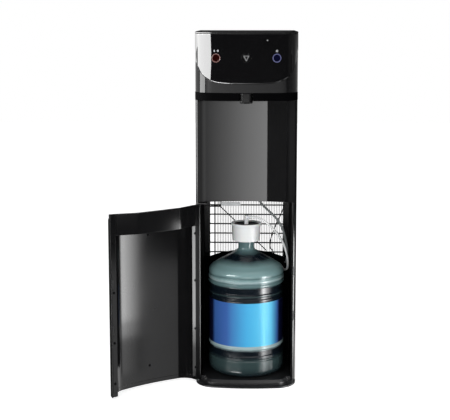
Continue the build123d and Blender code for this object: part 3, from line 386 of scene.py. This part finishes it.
# Painted highlight: the palest blue stands where the strip at the right is mirrored in the label
highlit_sky_blue = "#60cdf4"
label_turns = [
    (-180, navy), (-61, navy), (-54, royal_blue), (-30, royal_blue), (2, azure), (30, highlit_sky_blue),
    (41, highlit_sky_blue), (55, royal_blue), (60, navy), (180, navy)]
label_stops = [(0.5 + degrees / 360, code) for degrees, code in label_turns]
tree.links.new(spread(tree, round_way.outputs["Fac"], label_stops), shader.inputs["Base Color"])
pull = add(tree, "ShaderNodeTexNoise", {"Vector": place, "Scale": per_mm(16), "Detail": 2.0})
gloss = add(tree, "ShaderNodeMapRange", {"Value": pull.outputs[0], "To Min": 0.26, "To Max": 0.36})
tree.links.new(gloss.outputs[0], shader.inputs["Roughness"])
wrinkle = add(tree, "ShaderNodeBump", {"Height": pull.outputs[0], "Distance": 0.05 * mm, "Strength": 1.0})
tree.links.new(wrinkle.outputs[0], shader.inputs["Normal"])
print("label stops:", len(label_stops))

# %% [markdown]
# ## Lit and printed parts
# The two light guides glow faintly from diodes behind them, and their buttons are smoked to the same
# hue. An emission colour on the plastic does this without adding lamps. The signs on the panel are
# screen printed in a pale ink that is never quite even.


# %% Lit and printed parts
def lit(material, code, strength):
    """Lets a material glow in a hex colour."""
    shader = shader_of(material)
    shader.inputs["Emission Color"].default_value = linear(code)
    shader.inputs["Emission Strength"].default_value = strength


# Light guides: tinted acrylic, paler than the buttons inside them
red_acrylic = moulded_plastic("lit_red_acrylic", "#6a4640", "#7a524b", (0.2, 0.3), 3.0, 0.005)
lit(red_acrylic, "#76504a", 0.3)
blue_acrylic = moulded_plastic("lit_blue_acrylic", "#50537a", "#5c5f88", (0.2, 0.3), 3.0, 0.005)
lit(blue_acrylic, "#555983", 0.3)
# Smoked buttons: nearly black acrylic with the diode's hue deep inside
smoked_red = moulded_plastic(
    "smoked_red_acrylic", "#140302", "#1c0403", (0.06, 0.1), 6.0, 0.004, lean=panel_lean)
lit(smoked_red, "#300602", 0.25)
smoked_blue = moulded_plastic(
    "smoked_blue_acrylic", "#050616", "#08091e", (0.06, 0.1), 6.0, 0.004, lean=panel_lean)
lit(smoked_blue, "#080a30", 0.25)
# Status lens: frosted acrylic that a diode lights from behind
clear_acrylic = moulded_plastic("frosted_clear_acrylic", "#c3c6c7", "#d3d6d7", (0.2, 0.3), 3.0, 0.005)
lit(clear_acrylic, "#c8cbcc", 0.5)
# Printing inks: flat white for the sign and grey for the small marks, uneven as screen printing is
white_ink = moulded_plastic("screen_printed_white_ink", "#c2c4c5", "#d0d2d3", (0.45, 0.55), 0.8, 0.004)
grey_ink = moulded_plastic("screen_printed_grey_ink", "#989a9d", "#aaacaf", (0.45, 0.55), 0.8, 0.004)
# Foam jacket: off-white expanded foam with closed cells that show as a soft pebble
foam = moulded_plastic("expanded_foam", "#cfcabb", "#e3dfd2", (0.8, 0.95), 4.0, 0.4, 0.2)
# Circuit board: green solder mask over copper tracks, which show as a slow ripple in gloss
solder_mask = moulded_plastic("green_solder_mask", "#0f4a2c", "#1a6a40", (0.25, 0.4), 3.0, 0.03)
print("materials in all:", len(bpy.data.materials))

# %% [markdown]
# ## Edges
# A CAD edge is perfectly sharp and catches no light, but a moulding or a folded sheet always has a
# small radius, and the thin bright line along it is what tells the eye that it is real. A copy of each
# large piece gets its loose triangles joined and its corners bevelled by a fraction of a millimetre.


# %% The bowed front
bow_radius = 800 * mm
bow_centre_y = 605 * mm
corner_radius = 70 * mm
corner_x = 100 * mm
corner_y = -118.118 * mm
bow_end_x = 109.6 * mm


def behind_front(place):
    """Distance of a point behind the bowed front of the cabinet."""
    if abs(place.x) < bow_end_x:
        return bow_radius - math.hypot(place.x, place.y - bow_centre_y)
    return corner_radius - math.hypot(abs(place.x) - corner_x, place.y - corner_y)


dull_lip_x = 139 * mm
sharp_angle = math.radians(40)
crease_angle = math.radians(34)
flat_angle = math.radians(0.3)
merge_distance = 2e-6
front_tolerance = 0.3 * mm
bend_height = 20 * mm
bend_least = math.radians(12)
bend_most = math.radians(30)
bevel_segments = 3
hole_places = [(-98.8, 1110), (0, 1110), (98.8, 1110), (68, 1167)]
hole_reach = 20 * mm


def on_rim(edge):
    """Tells whether an edge of the fascia belongs to the outside rim of its front."""
    if edge.calc_face_angle(0.0) < sharp_angle:
        return False
    for vertex in edge.verts:
        if abs(behind_front(vertex.co)) > front_tolerance:
            return False
        for x, z in hole_places:
            if math.hypot(vertex.co.x - x * mm, vertex.co.z - z * mm) < hole_reach:
                return False
    return True


def at_bend(edge):
    """Tells whether an edge of the door's ledge is one of its two shallow upright bends."""
    upright = abs(edge.verts[0].co.z - edge.verts[1].co.z) > bend_height
    return upright and bend_least < edge.calc_face_angle(0.0) < bend_most


# %% Eased copies of the large pieces
def eased(node, radius, material, wide=0.0, widened=None):
    """Replaces a CAD piece by a copy with rounded edges, wider where a test asks for it; sizes in mm."""
    mesh = nodes[node].data.copy()
    if "custom_normal" in mesh.attributes:
        mesh.attributes.remove(mesh.attributes["custom_normal"])
    work = bmesh.new()
    work.from_mesh(mesh)
    bmesh.ops.remove_doubles(work, verts=work.verts, dist=merge_distance)
    bmesh.ops.dissolve_limit(work, angle_limit=flat_angle, verts=work.verts, edges=work.edges)
    widest = max(radius, wide)
    weight = work.edges.layers.float.new("bevel_weight_edge")
    for edge in work.edges:
        if widened and widened(edge):
            edge[weight] = 1.0
        elif edge.calc_face_angle(0.0) > sharp_angle:
            edge[weight] = radius / widest
    for face in work.faces:
        face.smooth = True
    work.to_mesh(mesh)
    work.free()
    mesh.set_sharp_from_angle(angle=crease_angle)
    mesh.materials.clear()
    mesh.materials.append(material)
    piece = new_piece(node + "_eased", mesh)
    ease = piece.modifiers.new("ease", "BEVEL")
    ease.width = widest * mm
    ease.segments = bevel_segments
    ease.limit_method = "WEIGHT"
    ease.use_clamp_overlap = False
    ease.harden_normals = True
    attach(piece, body_of[node])
    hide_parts(node)
    return piece


fascia = eased("control_fascia", 0.3, panel_abs, 2.6, on_rim)
fascia.data.materials.append(rim_abs)
fascia.modifiers["ease"].material = 1
eased("door_ledge", 1.2, liner_abs, 9.0, at_bend)
niche = eased("niche_panel", 0.6, niche_abs)
niche.data.materials.append(lip_abs)
for face in niche.data.polygons:
    if face.center.x > dull_lip_x:
        face.material_index = 1
for node, radius, material in (
    ("head_band", 0.8, matt_abs), ("head_shell", 0.6, gloss_abs),
    ("top_cover", 0.5, satin_abs), ("base_pan", 0.8, base_abs), ("door_skin", 0.6, satin_abs),
    ("door_liner", 0.6, liner_abs), ("door_bottom_rail", 0.6, liner_abs),
    ("left_side_panel", 0.4, powder_coat), ("right_side_panel", 0.4, powder_coat), ("spout", 1.5, spout_abs),
    ("left_bay_liner", 0.5, matt_abs), ("right_bay_liner", 0.5, matt_abs), ("bay_rear_wall", 0.5, matt_abs),
):
    piece = eased(node, radius, material)
    print(piece.name, len(piece.data.polygons), "faces")

# %% [markdown]
# ## Hoses and cable
# Three free lines hang in the bay: the white suction hose from the bottle's probe to a port in the rear
# wall, the grey riser from a second port up to the deck under the tanks, and the pump's cable. Each
# could be a chain of straight tubes, but a real hose bends evenly, so each is one smooth NURBS curve
# along the route of the CAD solid.


# %% Hoses and cable
def hang(name, node, points, diameter, material):
    """Lays one hose or cable along its route, given in millimetres."""
    curve = bpy.data.curves.new(name, "CURVE")
    curve.dimensions = "3D"
    curve.bevel_depth = diameter * mm / 2
    curve.bevel_resolution = 4
    curve.resolution_u = 8
    curve.use_fill_caps = True
    spline = curve.splines.new("NURBS")
    spline.points.add(len(points) - 1)
    for place, point in zip(spline.points, points):
        place.co = (point[0] * mm, point[1] * mm, point[2] * mm, 1.0)
    spline.order_u = 3
    spline.use_endpoint_u = True
    curve.materials.append(material)
    piece = new_piece(name, curve)
    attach(piece, "cabinet")
    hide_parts(node)


suction_route = [
    (20, -20, 556), (36, -20, 556), (56, -20.5, 547), (81, -21, 528), (106, -20, 502), (127, -16, 469),
    (140, -8, 432), (146, 8, 396), (146.5, 30, 370), (143, 56, 354), (136, 82, 347), (129, 104, 345.4),
    (126, 118, 345)]
riser_route = [
    (34, 70, 631), (38, 70.5, 612), (52, 70, 588), (75, 69, 566), (99, 68, 544), (120, 66, 517),
    (133, 65, 486), (141, 68, 452), (146, 76, 420), (146, 88, 393), (144, 102, 374), (141, 118, 366)]
cable_route = [
    (138, 100, 631), (139, 100, 604), (134, 101, 574), (121, 102, 541), (106, 103, 508), (93, 104, 476),
    (85, 107, 446), (84, 113, 424), (87, 121, 414), (92, 129, 410), (98, 136, 399), (103, 140, 380),
    (105, 142, 356), (106, 142, 332), (106.5, 143, 311.5)]
hang("suction_line", "suction_hose", suction_route, 8, silicone)
hang("riser_line", "riser_hose", riser_route, 8, polyethylene)
hang("pump_lead", "pump_cable", cable_route, 4, rubber)
print("three lines hung")

# %% [markdown]
# ## Seal in the cap
# A grey rubber seal lies in the recess of the probe cap, round the elbow. It is a turned shape, so its
# half section is drawn once, with two ridges, and spun about the bottle's axis.

# %% Seal in the cap
seal_section = [
    (13, 524.1), (13, 533), (20, 533.4), (22, 534.8), (25, 534.8), (27, 533.4), (34, 533.4), (36, 534.8),
    (39, 534.8), (41, 533.4), (44.2, 533), (43.2, 524.1)]
spin_steps = 64
seam_distance = 1e-5
seal_mesh = bpy.data.meshes.new("cap_seal")
work = bmesh.new()
ring = [work.verts.new((radius * mm, bottle_axis_y, height * mm)) for radius, height in seal_section]
edges = [work.edges.new((ring[i], ring[(i + 1) % len(ring)])) for i in range(len(ring))]
bmesh.ops.spin(
    work, geom=ring + edges, cent=(0, bottle_axis_y, 0), axis=(0, 0, 1), angle=2 * math.pi, steps=spin_steps)
bmesh.ops.remove_doubles(work, verts=work.verts, dist=seam_distance)
bmesh.ops.recalc_face_normals(work, faces=work.faces)
for face in work.faces:
    face.smooth = True
work.to_mesh(seal_mesh)
work.free()
seal_mesh.set_sharp_from_angle(angle=sharp_angle)
seal_mesh.materials.append(seal_rubber)
seal = new_piece("cap_seal", seal_mesh)
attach(seal, "cabinet")
print("seal faces:", len(seal_mesh.polygons))

# %% [markdown]
# ## Condenser wires
# The open back shows a wire-on-tube condenser: two rows of thin steel wires spot-welded across a
# serpentine tube. Eighty-two equal wires are a job for Geometry Nodes: one line of points for each
# row, one short tube on every point, and sizes that can be changed in one place.


# %% Geometry Nodes helpers
def start_tree(name, sizes):
    """Starts a tree with a geometry input and output and one named input for each size."""
    tree = bpy.data.node_groups.new(name, "GeometryNodeTree")
    tree.interface.new_socket("Geometry", in_out="INPUT", socket_type="NodeSocketGeometry")
    tree.interface.new_socket("Geometry", in_out="OUTPUT", socket_type="NodeSocketGeometry")
    for label, value in sizes.items():
        kind = "NodeSocketInt" if isinstance(value, int) else "NodeSocketFloat"
        tree.interface.new_socket(label, in_out="INPUT", socket_type=kind)
    return tree, add(tree, "NodeGroupInput").outputs


def grow(name, tree, sizes, points=()):
    """Runs a tree on a set of points and keeps the result as a plain mesh object."""
    seed = bpy.data.meshes.new(name)
    seed.from_pydata([Vector(point) * mm for point in points], [], [])
    holder = new_piece(name + "_seed", seed)
    modifier = holder.modifiers.new(name, "NODES")
    modifier.node_group = tree
    for item in tree.interface.items_tree:
        if item.name in sizes:
            modifier[item.identifier] = sizes[item.name]
    evaluated = holder.evaluated_get(bpy.context.evaluated_depsgraph_get())
    mesh = bpy.data.meshes.new_from_object(evaluated)
    holder.modifiers.remove(modifier)
    bpy.data.objects.remove(holder)
    return new_piece(name, mesh)


# %% Condenser wires
wire_sizes = {
    "Wires": 41, "First wire": -108 * mm, "Pitch": 6 * mm, "Depth": 186 * mm, "Row offset": 3.05 * mm,
    "Wire radius": 0.9 * mm, "Lowest": 236 * mm, "Highest": 610 * mm}
tree, size = start_tree("condenser_wires", wire_sizes)
low_end = add(tree, "ShaderNodeCombineXYZ", {"Z": size["Lowest"]})
high_end = add(tree, "ShaderNodeCombineXYZ", {"Z": size["Highest"]})
wire_line = add(tree, "GeometryNodeCurvePrimitiveLine", {
    "Start": low_end.outputs[0], "End": high_end.outputs[0]})
wire_round = add(tree, "GeometryNodeCurvePrimitiveCircle", {"Resolution": 8, "Radius": size["Wire radius"]})
wire = add(tree, "GeometryNodeCurveToMesh", {
    "Curve": wire_line.outputs[0], "Profile Curve": wire_round.outputs[0], "Fill Caps": True})
step = add(tree, "ShaderNodeCombineXYZ", {"X": size["Pitch"]})
rows = add(tree, "GeometryNodeJoinGeometry")
for side in ("ADD", "SUBTRACT"):
    row_y = add(tree, "ShaderNodeMath", {0: size["Depth"], 1: size["Row offset"]}, operation=side)
    row_start = add(tree, "ShaderNodeCombineXYZ", {"X": size["First wire"], "Y": row_y.outputs[0]})
    row = add(tree, "GeometryNodeMeshLine", {
        "Count": size["Wires"], "Start Location": row_start.outputs[0], "Offset": step.outputs[0]})
    tree.links.new(row.outputs[0], rows.inputs[0])
placed = add(tree, "GeometryNodeInstanceOnPoints", {"Points": rows.outputs[0], "Instance": wire.outputs[0]})
solid = add(tree, "GeometryNodeRealizeInstances", {"Geometry": placed.outputs[0]})
coated = add(tree, "GeometryNodeSetMaterial", {"Geometry": solid.outputs[0], "Material": enamel})
add(tree, "NodeGroupOutput", {"Geometry": coated.outputs[0]})
wires = grow("condenser_wire_rows", tree, wire_sizes)
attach(wires, "cabinet")
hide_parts("condenser_wires")
print("condenser wires:", len(wires.data.polygons), "faces")

# %% [markdown]
# ## Screws
# Ten black screws hold the door's liner and six the cover at the back, all low heads with a cross
# recess. One tree builds a head from a blunt cone, cuts the cross with two slim bars, and sets it on
# every point, leaning and turned as its face asks. Doing this with nodes keeps all sixteen alike and
# lets one number resize them.

# %% Screw tree
screw_sizes = {
    "Head radius": 4.6 * mm, "Head height": 1.6 * mm, "Slot width": 1.2 * mm, "Lean": -math.pi / 2,
    "Turn": 0.0}
crown_share = 0.78
bar_share = 1.2
tree, size = start_tree("cross_recess_screws", screw_sizes)
crown_radius = add(tree, "ShaderNodeMath", {0: size["Head radius"], 1: crown_share}, operation="MULTIPLY")
head = add(tree, "GeometryNodeMeshCone", {
    "Vertices": 28, "Radius Bottom": size["Head radius"], "Radius Top": crown_radius.outputs[0],
    "Depth": size["Head height"]})
bar_length = add(tree, "ShaderNodeMath", {0: size["Head radius"], 1: bar_share}, operation="MULTIPLY")
bar_up = add(tree, "ShaderNodeCombineXYZ", {"Z": size["Head height"]})
cut = head.outputs[0]
long_side = bar_length.outputs[0]
short_side = size["Slot width"]
for bar_x, bar_y in ((long_side, short_side), (short_side, long_side)):
    bar_size = add(tree, "ShaderNodeCombineXYZ", {"X": bar_x, "Y": bar_y, "Z": size["Head height"]})
    bar = add(tree, "GeometryNodeMeshCube", {"Size": bar_size.outputs[0]})
    cutter = add(tree, "GeometryNodeTransform", {
        "Geometry": bar.outputs[0], "Translation": bar_up.outputs[0]})
    cut = add(tree, "GeometryNodeMeshBoolean", {"Mesh 1": cut, "Mesh 2": cutter.outputs[0]}).outputs[0]
angles = add(tree, "ShaderNodeCombineXYZ", {"X": size["Lean"], "Z": size["Turn"]})
facing = add(tree, "FunctionNodeEulerToRotation", {"Euler": angles.outputs[0]})
placed = add(tree, "GeometryNodeInstanceOnPoints", {
    "Points": size["Geometry"], "Instance": cut, "Rotation": facing.outputs[0]})
solid = add(tree, "GeometryNodeRealizeInstances", {"Geometry": placed.outputs[0]})
blackened = add(tree, "GeometryNodeSetMaterial", {"Geometry": solid.outputs[0], "Material": black_steel})
add(tree, "NodeGroupOutput", {"Geometry": blackened.outputs[0]})
print("screw tree nodes:", len(tree.nodes))

# %% Screws on the door and at the back
swing = Matrix.Rotation(door_turn, 3, "Z")


def swung(x, y, z):
    """Takes a point of the shut door, in millimetres, to its place on the open door."""
    return hinge + swing @ (Vector((x, y, z)) - hinge)


flange_y = -121.5
hollow_y = -174.5
liner_screw_points = [swung(x, flange_y, z) for x in (-150, 159) for z in (55, 192, 360, 522)]
liner_screw_points += [swung(0, hollow_y, z) for z in (74, 524)]
liner_heads = grow("liner_screw_heads", tree, {**screw_sizes, "Turn": door_turn}, liner_screw_points)
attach(liner_heads, "door")
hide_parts("liner_screws")
cover_y = 181.5
cover_screw_points = [(x, cover_y, z) for x in (-152, 152) for z in (700, 920, 1150)]
cover_heads = grow("cover_screw_heads", tree, screw_sizes, cover_screw_points)
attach(cover_heads, "cabinet")
print("screws:", len(liner_screw_points), "on the door,", len(cover_screw_points), "at the back")

# %% [markdown]
# ## Printed signs
# The panel carries a triangle that points down at the spout, and small marks over the two side buttons:
# a drop, a flame-like drop and a crystal. They could be painted by the material, but a printed film has
# a crisp edge at any distance, so each is a thin plate that follows the bowed front.

# %% Printed signs
film_thickness = 0.06 * mm
sign_proud = 0.26
mark_proud = 0.05
drop_steps = 12
drop_start = 150
drop_sweep = 240


def printed(name, body, outlines, faces, proud, material):
    """Makes a thin plate from outline points in millimetres and the faces between them, on the front."""
    mesh = bpy.data.meshes.new(name)
    places = []
    for x, z in outlines:
        front = bow_centre_y - math.sqrt(bow_radius**2 - (x * mm) ** 2)
        places.append((x * mm, front - proud * mm, z * mm))
    mesh.from_pydata(places, [], faces)
    mesh.materials.append(material)
    piece = new_piece(name, mesh)
    film = piece.modifiers.new("film", "SOLIDIFY")
    film.thickness = film_thickness
    film.offset = 0.0
    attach(piece, body)


def ring_faces(count):
    """Faces of a closed band whose outer points come first and whose inner points follow."""
    return [(i, (i + 1) % count, count + (i + 1) % count, count + i) for i in range(count)]


def drop(x, z, radius, height):
    """Outline of a drop with its tip up."""
    turns = [math.radians(drop_start + drop_sweep * step / drop_steps) for step in range(drop_steps + 1)]
    return [(x, z + height)] + [(x + radius * math.cos(turn), z + radius * math.sin(turn)) for turn in turns]


triangle = [(-9.2, 1117.0), (9.2, 1117.0), (0, 1100.2)]
triangle_inside = [(-7.7, 1116.1), (7.7, 1116.1), (0, 1102.1)]
printed("spout_sign", "dispense_button", triangle + triangle_inside, ring_faces(3), sign_proud, white_ink)
for name, mark in (
    ("hot_mark_left", drop(-104.0, 1132.4, 2.6, 5.6)), ("hot_mark_right", drop(-92.6, 1132.8, 3.2, 5.0)),
):
    printed(name, "cabinet", mark, [tuple(range(len(mark)))], mark_proud, grey_ink)
crystal_x = 98.8
crystal_z = 1133.0
arm_count = 3
arm_reach = 4.4
crystal = []
crystal_faces = []
for arm in range(arm_count):
    turn = math.pi * arm / arm_count
    along = Vector((math.cos(turn), math.sin(turn)))
    across = Vector((-along.y, along.x))
    tip = along * arm_reach
    corners = (tip + across, across - tip, -tip - across, tip - across)
    crystal_faces.append(tuple(range(len(crystal), len(crystal) + len(corners))))
    crystal += [(crystal_x + corner.x, crystal_z + corner.y) for corner in corners]
printed("cold_mark", "cabinet", crystal, crystal_faces, mark_proud, grey_ink)
print("signs printed: 4")

# %% [markdown]
# ## Finishes of the other pieces
# The pieces whose CAD shape is already right stay as they are and only change their material: the slot
# of each object takes the finish of the real thing.

# %% Finishes of the other pieces
finish_of_slot = {
    "black_gloss": panel_abs, "black_satin": satin_abs, "black_paint": powder_coat,
    "red_lens": red_acrylic, "blue_lens": blue_acrylic, "white_lens": clear_acrylic,
    "board_green": solder_mask, "foam": foam, "bare_steel": zinc_steel, "copper": copper,
    "bottle_tint": bottle_plastic, "water": water, "label_blue": label_film, "white_plastic": white_pp,
    "white_hose": silicone, "grey_hose": polyethylene, "dark_rubber": rubber, "pump_body": nylon}
finish_of_node = {
    "dispense_button": button_abs, "hot_button": smoked_red, "cold_button": smoked_blue,
    "door_magnets": rubber, "strike_plates": zinc_steel, "condenser_tube": enamel,
    "condenser_clips": enamel, "discharge_line": enamel, "capillary_line": enamel}
for name, piece in nodes.items():
    finish = finish_of_node.get(name, finish_of_slot[slot_of[name]])
    for slot in piece.material_slots:
        slot.material = finish
print("finishes given to", len(nodes), "pieces")

# %% [markdown]
# ## Studio
# The photo has a white ground and near-black reflections, so the room is white to the eye and to clear
# parts, while a dark surround that only reflections see keeps the gloss deep. Bright cards stand in it
# where the photo shows a reflection: at the left for the head, in front for the niche, and a slim strip
# at the right for the bottle and the door. A card low at the left draws the light line along the lower
# rim of the panel, and one overhead lights the slope of the base.


# %% World and floor
room_level = 0.45
white_level = 1.0
floor_glow = 0.74
scene = bpy.context.scene
scene.view_settings.view_transform = "Standard"
world = bpy.data.worlds.new("studio")
scene.world = world
world.use_nodes = True
tree = world.node_tree
tree.nodes.clear()
path = add(tree, "ShaderNodeLightPath")
seen = add(tree, "ShaderNodeMath", {0: path.outputs["Is Camera Ray"], 1: path.outputs["Is Glossy Ray"]},
           operation="MAXIMUM")
seen = add(tree, "ShaderNodeMath", {0: seen.outputs[0], 1: path.outputs["Is Transmission Ray"]},
           operation="MAXIMUM")
level = add(tree, "ShaderNodeMapRange", {
    "Value": seen.outputs[0], "To Min": room_level, "To Max": white_level})
sky = add(tree, "ShaderNodeBackground", {"Strength": level.outputs[0]})
sky.inputs["Color"].default_value = (1.0, 1.0, 1.0, 1.0)
add(tree, "ShaderNodeOutputWorld", {"Surface": sky.outputs[0]})

floor_mesh = bpy.data.meshes.new("floor")
floor_reach = 9.0
floor_mesh.from_pydata(
    [(-floor_reach, -floor_reach, 0), (floor_reach, -floor_reach, 0), (floor_reach, floor_reach, 0),
     (-floor_reach, floor_reach, 0)], [], [(0, 1, 2, 3)])
floor = new_piece("floor", floor_mesh)
floor_paint = new_material("pale_floor_paint")
tree = floor_paint.node_tree
tree.nodes.clear()
path = add(tree, "ShaderNodeLightPath")
matt = add(tree, "ShaderNodeBsdfDiffuse", {"Color": linear("#ededed")})
glow = add(tree, "ShaderNodeEmission", {"Strength": floor_glow})
lifted = add(tree, "ShaderNodeAddShader", {0: matt.outputs[0], 1: glow.outputs[0]})
mixed = add(tree, "ShaderNodeMixShader", {
    0: path.outputs["Is Camera Ray"], 1: matt.outputs[0], 2: lifted.outputs[0]})
add(tree, "ShaderNodeOutputMaterial", {"Surface": mixed.outputs[0]})
floor_mesh.materials.append(floor_paint)
floor.visible_glossy = False
print("floor", 2 * floor_reach, "m wide")

# %% Lamps and cards
card_reach = 3.0
surround_reach = 6.0
arc_steps = 24
least_peak = 1e-6


def lamp(name, location, target, size, energy):
    """Adds a soft square lamp that lights the object without showing in its gloss."""
    light = bpy.data.lights.new(name, "AREA")
    light.size = size
    light.energy = energy
    holder = new_piece(name, light)
    holder.location = location
    aim = Vector(target) - Vector(location)
    holder.rotation_euler = aim.to_track_quat("-Z", "Y").to_euler()
    holder.visible_glossy = False


def arc(start, end, reach=card_reach):
    """Plan of a curved card: azimuths in degrees, 0 in front and growing to the right, and its distance."""
    turns = [math.radians(start + (end - start) * step / arc_steps) for step in range(arc_steps + 1)]
    return [(reach * math.sin(turn), -reach * math.cos(turn)) for turn in turns]


def raised(plan, height):
    """Lifts plan points to a height."""
    return [(x, y, height) for x, y in plan]


def card(name, low_edge, high_edge, levels):
    """Hangs a card that only reflections see, with brightness levels spaced evenly along its edges."""
    count = len(low_edge)
    mesh = bpy.data.meshes.new(name)
    faces = [(i, i + 1, count + i + 1, count + i) for i in range(count - 1)]
    mesh.from_pydata(low_edge + high_edge, [], faces)
    layer = mesh.uv_layers.new(name="sheet")
    for loop in mesh.loops:
        layer.data[loop.index].uv = ((loop.vertex_index % count) / (count - 1), loop.vertex_index // count)
    piece = new_piece(name, mesh)
    paint = new_material(name)
    tree = paint.node_tree
    tree.nodes.clear()
    place = add(tree, "ShaderNodeTexCoord").outputs["UV"]
    along = add(tree, "ShaderNodeSeparateXYZ", {"Vector": place})
    ramp = add(tree, "ShaderNodeValToRGB", {"Fac": along.outputs[0]})
    peak = max(*levels, least_peak)
    for _ in levels[2:]:
        ramp.color_ramp.elements.new(0.5)
    for index, level in enumerate(levels):
        ramp.color_ramp.elements[index].position = index / (len(levels) - 1)
        ramp.color_ramp.elements[index].color = (level / peak, level / peak, level / peak, 1.0)
    glow = add(tree, "ShaderNodeEmission", {"Color": ramp.outputs[0], "Strength": peak})
    add(tree, "ShaderNodeOutputMaterial", {"Surface": glow.outputs[0]})
    mesh.materials.append(paint)
    piece.visible_camera = False
    piece.visible_diffuse = False
    piece.visible_transmission = False
    piece.visible_volume_scatter = False
    piece.visible_shadow = False


lamp("key", (-2.0, -3.4, 3.0), (0, 0, 0.5), 2.2, 55)
lamp("fill", (2.8, -3.0, 1.6), (0, 0, 0.5), 2.0, 30)
lamp("bay_light", (0.2, -2.6, 0.5), (0, 0, 0.25), 0.9, 14)
strip_plan = [(0.5, -0.54), (0.5, -0.172)]
for name, plan, low, high, levels in (
    ("dark_surround", arc(-180, 180, surround_reach), -8.0, 7.0, (0.0, 0.0)),
    ("head_card", arc(-170, -29), 0.97, 1.8, (0.6, 1.8, 4.6, 11.0, 15.0, 17.5, 18.0, 18.0)),
    ("left_strip", arc(-97, -62), 0.2, 0.965, (7.0, 8.0)),
    ("left_fill", arc(-170, -97), 0.2, 0.965, (0.2, 0.8)),
    ("head_fill", arc(-58, 54), 0.745, 0.965, (0.8, 1.6, 1.2, 0.85, 0.65, 0.55, 0.4, 0.2)),
    ("head_side", arc(60, 160), 0.75, 1.25, (0.05, 0.2, 0.3)),
    ("niche_card", arc(-14, 38), 0.12, 0.742, (4.5, 3.4, 2.0, 0.9, 0.2)),
    ("niche_shade", arc(-50, -14), 0.12, 0.742, (0.13, 0.13)),
    ("corner_card", arc(76, 130), -1.9, -0.7, (2.6, 3.6)),
    ("right_fill", arc(41, 76), -1.6, -0.28, (1.8, 2.0, 2.4)),
    ("side_strip", strip_plan, -0.02, 0.42, (0.5, 12.0, 23.0, 23.0, 14.0, 8.0, 5.0, 3.0, 1.0)),
    ("side_strip_waist", strip_plan, -0.09, -0.02, (0.4, 7.0, 12.0, 12.0, 7.0, 4.0, 3.0, 2.0, 0.6)),
    ("side_strip_foot", strip_plan, -0.25, -0.09, (0.2, 2.4, 4.0, 4.0, 2.6, 1.6, 1.2, 0.8, 0.3)),
    ("rim_card", arc(-66, -16), -5.0, -1.2, (12.0, 12.0, 10.0)),
    ("rear_card", arc(140, 220), -1.2, 1.0, (0.4, 0.8, 0.0, 0.0, 0.8, 0.4)),
):
    card(name, raised(plan, low), raised(plan, high), levels)
ceiling_height = 3.0
card("base_card", raised([(-0.7, -1.8), (0.9, -1.8)], ceiling_height),
     raised([(-0.7, -0.6), (0.9, -0.6)], ceiling_height), (0.1, 0.4, 0.7, 1.2, 1.8, 2.2))
print("lamps and cards set")
